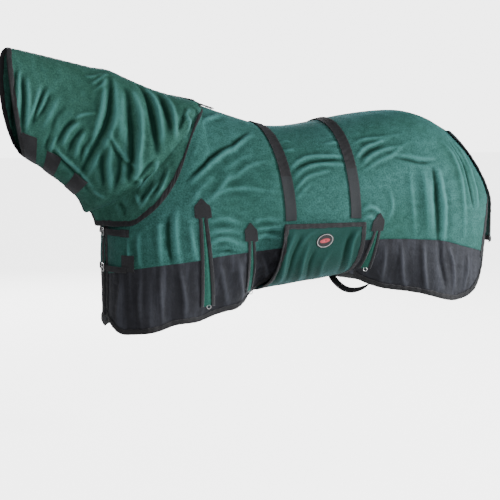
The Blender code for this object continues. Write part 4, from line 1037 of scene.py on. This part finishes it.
def buildNeck(side, sign):
    setup, skin = neckSetup, neckSkins[side]
    u = spread(0.10, 1.0, setup["columns"])[None, :]
    k = np.concatenate([np.linspace(-1, 0, 46)[:-1], np.linspace(0, 1, setup["rows"] - 45)])[:, None]
    grid = keepSide(onSkin(skin, u + 0 * k, k + 0 * u), sign)
    cover = clothPiece(f"neckCloth_{side}", grid, looks["neck"], layers["cloth"], neckCore,
                       tone=foldShadeAt(skin, u + 0 * k, k + 0 * u))
    place(cover, "rug", "green_mesh", f"neck_cover_{side}")

    ks = np.linspace(-1.0, 0.0, 60)
    us = np.linspace(0.10, 1.0, 120)
    across = onSkin(skin, us[:, None] + 0 * ks, ks + 0 * us[:, None])
    reach = np.linalg.norm(np.diff(across, axis=1), axis=2)[:, :12].sum(1) / (ks[12] + 1.0)
    square = np.cross(unit(np.gradient(across[:, 0], axis=0)), unit(across[:, 12] - across[:, 0]))
    reach *= np.maximum(np.linalg.norm(square, axis=1), 0.30)  # the tape's width is measured square to the edge

    def bibAt(u, inward, lift):
        return onSkin(skin, u, -1.0 + inward / np.maximum(np.interp(u, us, reach), 0.02), lift)

    grid = keepSide(bindEdge(bibAt, spread(0.14, 0.995, 260), 0.022), sign, 0.0004)
    bib = clothPiece(f"bibTape_{side}", grid, looks["tape"], layers["tape"], bodyCore, testColumns=slice(0, 3))
    place(bib, "rug", "binding", f"bib_binding_{side}")

    def throatAt(k, inward, lift):
        return onSkin(skin, 1.0 - np.maximum(inward, 0.0) / 0.75, k, lift)

    grid = keepSide(bindEdge(throatAt, spread(-0.96, 0.985, 190), 0.011, inner=False), sign, 0.0005)
    throat = clothPiece(f"throatTape_{side}", grid, looks["tape"], layers["tape"], neckCore)
    place(throat, "rug", "binding", f"throat_binding_{side}")
    return cover, [bib, throat]


def buildNeckTrim():
    setup = neckSetup

    def pollAt(turn, inward, lift):
        u = 0.10 + 0.885 * np.abs(turn)
        k = 1.0 - inward / neckLength(u)
        leftPoints, rightPoints = (onSkin(neckSkins[name], u, k, lift) for name in ("left", "right"))
        return np.where((turn < 0)[..., None], leftPoints, rightPoints)

    grid = bindEdge(pollAt, spread(-1.0, 1.0, 220), setup["bindingWidth"])
    poll = clothPiece("pollTape", grid, looks["tape"], layers["tape"], neckCore, testColumns=slice(0, 3))
    place(poll, "rug", "binding", "poll_binding")

    k = spread(-0.14, 0.968, 340)[:, None]
    gather = ramp(0.16, 0.02, k)  # the tape is wider and bunched where the cover ends on the withers
    across = np.array([-1.0, -0.94, -0.5, 0.0, 0.5, 0.94, 1.0])[None, :]
    reach = across * (0.0095 + 0.0125 * gather)
    halves = [onSkin(neckSkins[name], 0.10 + np.abs(reach) / 0.62, k + 0 * reach) for name in ("left", "right")]
    grid = np.where((reach < 0)[..., None], halves[0], halves[1])
    saddle = onSkin(bodySkins["left"], -0.058 - 0.35 * k, 0.0 * reach, 0.0015)  # it runs on over the withers
    saddle[..., 1] = reach
    saddle[..., 2] -= 1.6 * reach**2
    grid = np.where((k < 0)[..., None], saddle, grid)
    ruffle = gather * (0.0030 * np.sin(k * 300 + across * 1.6) + 0.0018 * np.sin(k * 640 - across * 2.1))
    grid[..., 2] += 0.0024 + np.abs(ruffle) + 0.0004 * np.sin(k * 150) + 0.0010 * gather
    grid[..., 1] = np.where(across == 0.0, 0.0, grid[..., 1])
    crest = clothPiece("crestTape", grid, looks["tape"], 0.0010, neckCore)
    place(crest, "rug", "binding", "crest_tape")

    for number, (k, upper) in enumerate(setup["tabs"], 1):
        half = setup["tabHalf"]
        corner = np.array([-1.0, -0.97, -0.88, -0.4, 0.0, 0.4, 0.88, 0.97, 1.0])[None, :]
        run = spread(upper + 0.008, 0.94, 24)[:, None]
        grid = onSkin(neckSkins["left"], run + 0 * corner, k + half * corner * 0.97, 0.0019)
        patch = clothPiece(f"throatPatch_{number}", grid, looks["plainTape"], 0.0010, neckCore)
        place(patch, "rug", "touch_tape", f"throat_patch_{number}")
        share = np.array([0.0, 0.012, 0.04, 0.12, 0.24, 0.36, 0.48, 0.6, 0.72, 0.84, 0.93, 1.0])[:, None]
        pinch = np.array([0.93, 0.985, 1.0] + [1.0] * 9)[:, None]
        run = upper + (1.0 - upper) * share
        puff = 0.0012 * np.sin(share * np.pi) + 0.0006 * np.cos(corner * 2.2)
        grid = onSkin(neckSkins["left"], run + 0 * corner, k + half * corner * pinch, 0.0042 + puff)
        tab = clothPiece(f"throatTab_{number}", keepSide(grid, -1, 0.0006), looks["plainTape"], 0.0016, neckCore,
                         angle=50)
        place(tab, f"throat_tab_{number}", "touch_tape", f"throat_tab_{number}")


# straps over the back and under the belly
strapSetup = dict(rows=260, ripple=0.0016, seam=dict(front=-0.280, rear=-0.250))


def buildBackStrap(which):
    half = backStrapSetup["width"] / 2
    bottom = float(tAtLevel(backStrapSetup[which][1], backStrapSetup[which][2]))
    across = np.array([-1.0, -0.985, -0.93, -0.7, -0.35, 0.0, 0.35, 0.7, 0.93, 0.985, 1.0])[None, :]
    halves = []
    for side in sides:
        t = spread(0.0, bottom, strapSetup["rows"] // 2)[:, None]
        s = strapLine(which, t)
        flat = onSkin(bodySkins[side], s + half * across, t + 0 * across)
        upper = ramp(strapSetup["seam"][which] - 0.004, strapSetup["seam"][which] + 0.02, flat[..., 2])
        run = t * 0.62
        ripple = strapSetup["ripple"] * (np.sin(run * 430 + 1.7 * np.sin(run * 60) + across * 1.2)
                                         + 0.6 * np.sin(run * 190 - across * 2.0))
        crease = np.exp(-((run - 0.62 * 0.44) / 0.004) ** 2) * 0.0012
        edge = 0.0006 * (1 - across**8)
        width = half * (1.0 - 0.03 * upper[:, :1] * (1 + np.sin(run * 210)))
        lift = layers["strapLift"] + edge + np.abs(ripple) * upper - crease + 0.0012 * (1 - upper)
        grid = onSkin(bodySkins[side], s + width * across, t + 0 * across, lift)
        if side == "left":
            grid[0, :, 1] = 0.0
            halves.append(grid[::-1])
        else:
            halves.append(grid[1:])
    strap = clothPiece(f"backStrap_{which}", np.concatenate(halves), looks[f"{which}Strap"], layers["strap"],
                       bodyCore, angle=60)
    place(strap, "rug", "webbing", f"back_strap_{which}")


def buildBellyStrap():
    look = dict(half=0.0125, span=0.205, top=-0.772, sag=0.050, x=0.665, rows=120)
    f = spread(0.0, 1.0, look["rows"])[:, None]
    across = np.array([-1.0, -0.95, -0.5, 0.0, 0.5, 0.95, 1.0])[None, :]
    twist = 0.85 + 0.10 * np.sin(f * 7.0)
    x = look["x"] - 0.010 * np.sin(np.pi * f) + look["half"] * across
    z = look["top"] - look["sag"] * np.sin(np.pi * f) ** 0.8 + look["half"] * across * twist
    grid = stack(x + 0 * z, look["span"] * (2 * f - 1) + 0 * across, z)
    strap = clothPiece("bellyStrap", grid, looks["webbing"], 0.0020, bodyCore, angle=60)
    place(strap, "rug", "webbing", "belly_strap")


# belly wrap
wrapSetup = dict(front=0.187, rear=0.571, slant=0.035, top=-0.485, bottomFront=-0.795, bottomRear=-0.738, half=0.352,
                 power=2.4, columns=72, rows=230, bindingWidth=0.018, badge=(0.381, -0.559), badgeHalf=(0.040, 0.0315))


def wrapBase(x, turn):
    g = wrapSetup
    x, turn = np.broadcast_arrays(np.asarray(x, float), np.asarray(turn, float))
    f = (x - g["front"]) / (g["rear"] - g["front"])
    depth = -(g["bottomFront"] + (g["bottomRear"] - g["bottomFront"]) * f) + g["top"]
    angle = turn * np.pi / 2
    cosine, sine = np.cos(angle), np.maximum(np.sin(angle), 0.0)
    y = -np.sign(cosine) * np.abs(cosine) ** (2 / g["power"]) * g["half"]
    return stack(x - g["slant"] * (1.0 - f) * sine, y, g["top"] - depth * sine ** (2 / g["power"]))


def wrapCore(points):
    return stack(points[..., 0], 0.0 * points[..., 0], -0.50 + 0.0 * points[..., 0])


def buildWrap():
    setup = wrapSetup
    x = np.linspace(setup["front"], setup["rear"], 90)
    turn = np.concatenate([np.linspace(0, 0.06, 12)[:-1], np.linspace(0.06, 1.94, 250),
                           np.linspace(1.94, 2.0, 12)[1:]])
    gridX, gridT = np.meshgrid(x, turn, indexing="ij")
    base = wrapBase(gridX, gridT)
    mirrored = dict(wrapFolds, paths=[([(a, 2.0 - b) for a, b in path], width, height)
                                      for path, width, height in wrapFolds["paths"]])
    heights = foldField(base, wrapBase, wrapFolds, 0) + foldField(base, wrapBase, mirrored, 9)
    heights += 0.0035 * noiseField(base, (7, 4, 7), 21) + 0.0012 * noiseField(base, (22, 9, 22), 22)
    heights *= ramp(0.0, 0.10, gridT) * ramp(2.0, 1.90, gridT) * 0.75 + 0.25
    skin = makeSkin(x, turn, base, heights, 1, -1.0)
    xs = spread(setup["front"], setup["rear"], setup["columns"])[None, :]
    turns = np.interp(spread(0, 1, setup["rows"]), spread(0, 1, len(turn) - 1), turn)[:, None]
    panel = clothPiece("wrapCloth", onSkin(skin, xs + 0 * turns, turns + 0 * xs), looks["wrap"], layers["cloth"],
                       wrapCore, tone=foldShadeAt(skin, xs + 0 * turns, turns + 0 * xs))
    place(panel, "belly_wrap", "green_mesh", "belly_wrap_panel")

    girth = np.concatenate([[0.0], np.cumsum(np.linalg.norm(np.diff(base[45], axis=0), axis=1))])

    def frameAt(around, inward, lift):
        # around counts the four edges: front, right top, rear, left top
        leg, f = np.floor(around) % 4, around - np.floor(around)
        turnIn = np.interp(inward, girth, turn)
        frontTurn = np.interp(f * girth[-1], girth, turn)
        rearTurn = np.interp((1 - f) * girth[-1], girth, turn)
        wide = setup["rear"] - setup["front"]
        atX = np.select([leg == 0, leg == 1, leg == 2], [
            setup["front"] + inward, setup["front"] + wide * f, setup["rear"] - inward], setup["rear"] - wide * f)
        atTurn = np.select([leg == 0, leg == 1, leg == 2], [frontTurn, 2.0 - turnIn, rearTurn], turnIn)
        past = np.select([leg == 0, leg == 2], [-np.minimum(inward, 0), np.minimum(inward, 0)], 0.0)
        points = onSkin(skin, atX, atTurn, lift)
        points[..., 0] -= past
        points[..., 2] += np.where((leg == 1) | (leg == 3), -np.minimum(inward, 0), 0.0)
        return points

    pieces = []
    for leg, count in enumerate((260, 80, 260, 80)):
        grid = bindEdge(frameAt, leg + spread(0.0, 0.9999, count), setup["bindingWidth"])
        pieces.append(clothPiece(f"wrapTape_{leg}", grid, looks["tape"], layers["tape"], wrapCore,
                                 testColumns=slice(0, 3)))
    frameTape = joinPieces(pieces, "wrapTape")
    place(frameTape, "belly_wrap", "binding", "belly_wrap_binding")

    # oval patch: a plump rim round a flat field
    low, high = 0.0, 1.0
    for _ in range(40):
        middleTurn = (low + high) / 2
        if wrapBase(setup["badge"][0], middleTurn)[2] > setup["badge"][1]:
            low = middleTurn
        else:
            high = middleTurn
    centreArc = np.interp(middleTurn, turn, girth)
    tilt = math.radians(-8.0)
    reach = np.array([0.02, 0.25, 0.5, 0.7, 0.82, 0.86, 0.92, 0.97, 1.0])
    plump = np.array([0.0, 0.0, 0.0, 0.0, 0.0001, 0.0006, 0.0010, 0.0007, 0.0])
    angle = spread(0.0, 2 * np.pi, 96)[:, None]
    along = np.cos(angle) * reach * setup["badgeHalf"][0]
    down = np.sin(angle) * reach * setup["badgeHalf"][1]
    atX = setup["badge"][0] + along * math.cos(tilt) - down * math.sin(tilt)
    atTurn = np.interp(centreArc + along * math.sin(tilt) + down * math.cos(tilt), girth, turn)
    grid = onSkin(skin, atX, atTurn, 0.0016 + plump)
    badge = clothPiece("ovalPatch", grid, looks["patch"], 0.0012, wrapCore)
    chart = np.empty(len(badge.data.loops) * 2, np.float32)
    corner = np.empty(len(badge.data.loops), np.int32)
    badge.data.loops.foreach_get("vertex_index", corner)
    count = grid.shape[0] * grid.shape[1]
    flatChart = np.stack([np.cos(angle) * reach, np.sin(angle) * reach], -1).reshape(-1, 2)
    flatChart = np.concatenate([flatChart] * math.ceil(len(badge.data.vertices) / count))
    chart[:] = flatChart[corner].astype(np.float32).ravel()
    badge.data.uv_layers[0].data.foreach_set("uv", chart)
    makeActive(badge)
    bpy.ops.object.mode_set(mode="EDIT")
    bpy.ops.mesh.select_all(action="SELECT")
    bpy.ops.mesh.remove_doubles(threshold=0.00002)
    bpy.ops.mesh.select_all(action="DESELECT")
    bpy.ops.mesh.select_non_manifold(extend=False, use_wire=False, use_multi_face=False, use_non_contiguous=False)
    bpy.ops.mesh.fill_holes(sides=0)
    bpy.ops.object.mode_set(mode="OBJECT")
    place(badge, "belly_wrap", "patch", "belly_wrap_badge")
    return panel, [frameTape, badge]


# chest straps with their buckles
chestSetup = dict(levels=dict(upper=-0.516, lower=-0.672), web=0.025,
                  patches=dict(upper=(0.016, 0.0, 0.665, 0.76), lower=(0.035, 0.028, 0.62, 0.745)),
                  buckle=dict(wide=0.034, high=0.036, wire=0.0030, faceGap=0.0112))


def chestRun(lowU, highU, z, half, side, lift, steps):
    across = np.array([1.0, 0.94, 0.5, 0.0, -0.5, -0.94, -1.0])[None, :]
    s = -rugShape["frontFan"] * spread(lowU, highU, steps)[:, None]
    level = z + half * across
    smooth = bodyBase(s + 0 * across, tAtLevel(s, level), lift + 0.0004 * (1 - across**4))
    smooth[..., 1] *= sides[side]
    return smooth


def modelBuckle(level, z):
    look = chestSetup["buckle"]
    x = rugShape["chestX"] - look["faceGap"] - look["wire"]
    bpy.ops.object.select_all(action="DESELECT")
    bpy.ops.mesh.primitive_plane_add(size=1.0, location=(x, 0, z), rotation=(0, math.pi / 2, 0))
    buckle = bpy.context.object
    buckle.name = f"buckleFrame_{level}"
    bpy.ops.transform.resize(value=(1.0, look["wide"], look["high"]), center_override=(x, 0, z))
    bpy.ops.object.transform_apply(location=True, rotation=True, scale=True)
    bpy.ops.object.mode_set(mode="EDIT")
    bpy.ops.mesh.select_all(action="SELECT")
    bpy.ops.mesh.inset(thickness=look["wire"] * 1.25)
    bpy.ops.mesh.delete(type="FACE")
    bpy.ops.mesh.select_all(action="SELECT")
    bpy.ops.mesh.extrude_region_move(TRANSFORM_OT_translate={"value": (look["wire"], 0, 0)})
    bpy.ops.mesh.select_all(action="SELECT")
    bpy.ops.mesh.normals_make_consistent(inside=False)
    bpy.ops.object.mode_set(mode="OBJECT")
    rounding = buckle.modifiers.new("rounding", "BEVEL")
    rounding.width, rounding.segments, rounding.limit_method = 0.0011, 4, "ANGLE"
    finishModifiers(buckle)
    bpy.ops.object.shade_smooth_by_angle(angle=math.radians(40))
    buckle.data.materials.clear()
    buckle.data.materials.append(looks["metal"])
    place(buckle, "rug", "ring_metal", f"chest_buckle_{level}")


def modelProng(level):
    low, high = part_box(f"chest_prong_{level}")
    middle, size = (Vector(low) + Vector(high)) / 2, Vector(high) - Vector(low)
    bpy.ops.object.select_all(action="DESELECT")
    bpy.ops.mesh.primitive_cylinder_add(vertices=20, radius=size.x / 2, depth=size.y, location=middle,
                                        rotation=(math.pi / 2, 0, 0))
    prong = bpy.context.object
    prong.name = f"bucklePin_{level}"
    bpy.ops.object.transform_apply(location=True, rotation=True, scale=True)
    bpy.ops.object.mode_set(mode="EDIT")
    edit = bmesh.from_edit_mesh(prong.data)
    for vertex in edit.verts:  # the tip is thinner and rounded
        vertex.select = vertex.co.y > middle.y
    edit.select_flush_mode()
    bmesh.update_edit_mesh(prong.data)
    bpy.ops.transform.resize(value=(0.62, 1.0, 0.62), center_override=middle)
    bpy.ops.object.mode_set(mode="OBJECT")
    rounding = prong.modifiers.new("rounding", "BEVEL")
    rounding.width, rounding.segments, rounding.limit_method = 0.0005, 3, "ANGLE"
    finishModifiers(prong)
    bpy.ops.object.shade_smooth_by_angle(angle=math.radians(50))
    prong.data.materials.append(looks["metal"])
    place(prong, f"chest_prong_{level}", "ring_metal", f"chest_prong_{level}")


def buildChest(level, z):
    setup = chestSetup
    half = setup["web"] / 2
    strap = clothPiece(f"chestStrap_{level}", chestRun(0.69, 0.962, z, half, "left", 0.0082, 60), looks["webbing"],
                       0.0020, bodyCore, angle=60)
    place(strap, "rug", "webbing", f"chest_strap_{level}")
    left = chestRun(0.955, 1.0, z, half - 0.002, "left", 0.0052, 12)
    right = chestRun(0.70, 1.0, z, half - 0.002, "right", 0.0052, 60)
    billet = clothPiece(f"chestBillet_{level}", np.concatenate([left[:-1], right[::-1]]), looks["webbing"], 0.0020,
                        bodyCore, angle=60)
    place(billet, "rug", "webbing", f"chest_billet_{level}")
    tall, raised, lowU, highU = setup["patches"][level]
    patch = clothPiece(f"chestPatch_{level}", chestRun(lowU, highU, z + raised, tall, "left", 0.0056, 24),
                       looks["plainTape"], 0.0012, bodyCore, angle=60)
    place(patch, "rug", "touch_tape", f"chest_patch_{level}")
    modelBuckle(level, z)
    modelProng(level)


# tail flap
flapSetup = dict(foot=-0.610, halfTop=0.045, halfFoot=0.150, lift=0.0095, rows=96, columns=56, bindingWidth=0.020)


def flapAt(share, z, lift):
    g, setup = rugShape, flapSetup
    share, z, lift = np.broadcast_arrays(np.asarray(share, float), np.asarray(z, float), np.asarray(lift, float))
    f = np.clip((g["tailTop"][1] - z) / (g["tailTop"][1] - setup["foot"]), 0.0, 1.1)
    half = setup["halfTop"] + (setup["halfFoot"] - setup["halfTop"]) * f**0.7
    y = share * half
    low = np.full(z.shape, g["rumpX"])
    high = np.full(z.shape, g["rumpX"] + g["rearFan"])
    for _ in range(34):
        s = (low + high) / 2
        outside = np.abs(bodyRaw(s, tAtLevel(s, z))[..., 1]) > np.abs(y)
        low, high = np.where(outside, s, low), np.where(outside, high, s)
    pleats = 0.0045 * ramp(0.10, 0.9, f) * np.sin(share * 7.5 + 0.8 * np.sin(f * 4))
    pleats *= ramp(1.05, 0.8, np.abs(share))
    points = bodyBase(s, tAtLevel(s, z), setup["lift"] + lift + pleats)
    points[..., 1] *= np.where(y < 0, -1, 1)
    return points


def buildTailFlap():
    setup, top = flapSetup, rugShape["tailTop"][1] - 0.012
    z = spread(top, setup["foot"], setup["rows"])[:, None]
    share = spread(-1.0, 1.0, setup["columns"])[None, :]
    flap = clothPiece("flapCloth", flapAt(share + 0 * z, z + 0 * share, 0.0), looks["green"], layers["cloth"],
                      bodyCore)
    place(flap, "tail_flap", "green_mesh", "tail_flap")
    drop = top - setup["foot"]

    def edgeAt(around, inward, lift):
        # around runs down the left edge, along the foot and up the right edge
        leg = np.floor(np.clip(around, 0, 2.9999))
        f = around - leg
        slip = inward / 0.10
        atZ = np.select([leg == 0, leg == 1], [top - drop * f, setup["foot"] + inward], setup["foot"] + drop * f)
        atShare = np.select([leg == 0, leg == 1], [-1.0 + slip, -1.0 + 2.0 * f], 1.0 - slip)
        return flapAt(atShare, np.minimum(atZ, top), lift)

    pieces = []
    for leg, count in enumerate((110, 90, 110)):
        grid = bindEdge(edgeAt, leg + spread(0.0, 0.9999, count), setup["bindingWidth"])
        pieces.append(clothPiece(f"flapTape_{leg}", grid, looks["tape"], layers["tape"], bodyCore,
                                 testColumns=slice(0, 3)))
    tape = joinPieces(pieces, "flapTape")
    place(tape, "tail_flap", "binding", "tail_flap_binding")
    return flap, [tape]


ringModel = modelRing()
for side, sign in sides.items():
    panel, skirt, tapes = buildBody(side, sign)
    print("body", side)
    for number, spot in enumerate(gussetSetup["places"], 1):
        insert, tape = buildGusset(side, number, spot)
        low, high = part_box(f"gusset_ring_{side}_{number}")
        top = Vector(((low[0] + high[0]) / 2, (low[1] + high[1]) / 2, high[2]))
        ring = copyPiece(ringModel, f"gussetRing_{side}_{number}", top)
        place(ring, f"gusset_ring_{side}_{number}", "ring_metal", f"gusset_ring_{side}_{number}")
    cover, trims = buildNeck(side, sign)
    print("neck", side)
bpy.data.objects.remove(ringModel)
buildNeckTrim()
buildBackStrap("front")
buildBackStrap("rear")
buildBellyStrap()
wrapPanel, wrapPieces = buildWrap()
print("wrap and straps")
for level, z in chestSetup["levels"].items():
    buildChest(level, z)
flapPanel, flapPieces = buildTailFlap()
print("chest and tail flap")


# floor, light and camera
stageSetup = dict(floor=-1.52, floorSize=60.0, tone=(0.86, 0.86, 0.86), glow=3.7, world=0.16, seen=4.4)


def buildStage():
    bpy.ops.object.select_all(action="DESELECT")
    bpy.ops.mesh.primitive_plane_add(size=stageSetup["floorSize"], location=(0, 12, stageSetup["floor"]))
    floor = bpy.context.object
    floor.name = "studioFloor"
    material, tree, shader, where = startMaterial("paleFloor", Roughness=0.9, Specular_IOR_Level=0.1)
    cloud = placeGroup(tree, "mottle", where.outputs["Object"], Broad=0.7, Fine=9.0)
    shade = tuple(0.985 * value for value in stageSetup["tone"])
    tree.links.new(mixNode(tree, cloud.outputs["Broad"], shade, stageSetup["tone"]), shader.inputs["Base Color"])
    shader.inputs["Emission Color"].default_value = (1.0, 1.0, 1.0, 1.0)
    sight = tree.nodes.new("ShaderNodeLightPath")  # white to look at, without lighting the cloth from below
    glow = mathNode(tree, "MULTIPLY", sight.outputs["Is Camera Ray"], stageSetup["glow"])
    tree.links.new(glow, shader.inputs["Emission Strength"])
    floor.data.materials.append(material)

    world = bpy.data.worlds.new("studio")
    bpy.context.scene.world = world
    world.use_nodes = True
    tree = world.node_tree
    backdrop = tree.nodes["Background"]
    backdrop.inputs["Color"].default_value = (1.0, 1.0, 1.0, 1.0)
    path = tree.nodes.new("ShaderNodeLightPath")
    seen = mathNode(tree, "MULTIPLY", path.outputs["Is Camera Ray"], stageSetup["seen"] - stageSetup["world"])
    tree.links.new(mathNode(tree, "ADD", seen, stageSetup["world"]), backdrop.inputs["Strength"])


def addLight(name, location, target, size, power, colour=(1.0, 1.0, 1.0)):
    light = bpy.data.lights.new(name, "AREA")
    light.shape, light.size, light.energy, light.color = "DISK", size, power, colour
    holder = bpy.data.objects.new(name, light)
    holder.location = location
    holder.rotation_euler = (Vector(target) - Vector(location)).to_track_quat("-Z", "Y").to_euler()
    bpy.context.scene.collection.objects.link(holder)


def addCamera():
    # level with the back, on the near side and a little towards the head, aimed down by 5 degrees
    look = dict(place=(-2.347, -6.223, 0.0), turn=22.0, down=5.295, lens=108.0)
    camera = bpy.data.cameras.new("camera")
    camera.lens, camera.sensor_width = look["lens"], 36.0
    holder = bpy.data.objects.new("camera", camera)
    holder.location = look["place"]
    holder.rotation_euler = (math.radians(90.0 - look["down"]), 0.0, math.radians(-look["turn"]))
    bpy.context.scene.collection.objects.link(holder)
    bpy.context.scene.camera = holder


buildStage()
addLight("key", (6.0, -3.4, 0.9), (0.5, 0.0, -0.3), 1.2, 930.0, (0.98, 1.0, 1.0))
addLight("fill", (-1.4, -6.8, 1.1), (0.0, 0.0, -0.3), 1.6, 340.0, (1.0, 0.99, 0.97))
addLight("far", (0.6, 6.5, 2.2), (0.3, 0.0, -0.3), 2.4, 420.0)
addLight("top", (0.0, 1.0, 4.0), (0.2, 0.0, 0.0), 2.2, 20.0)
addCamera()
print("stage")
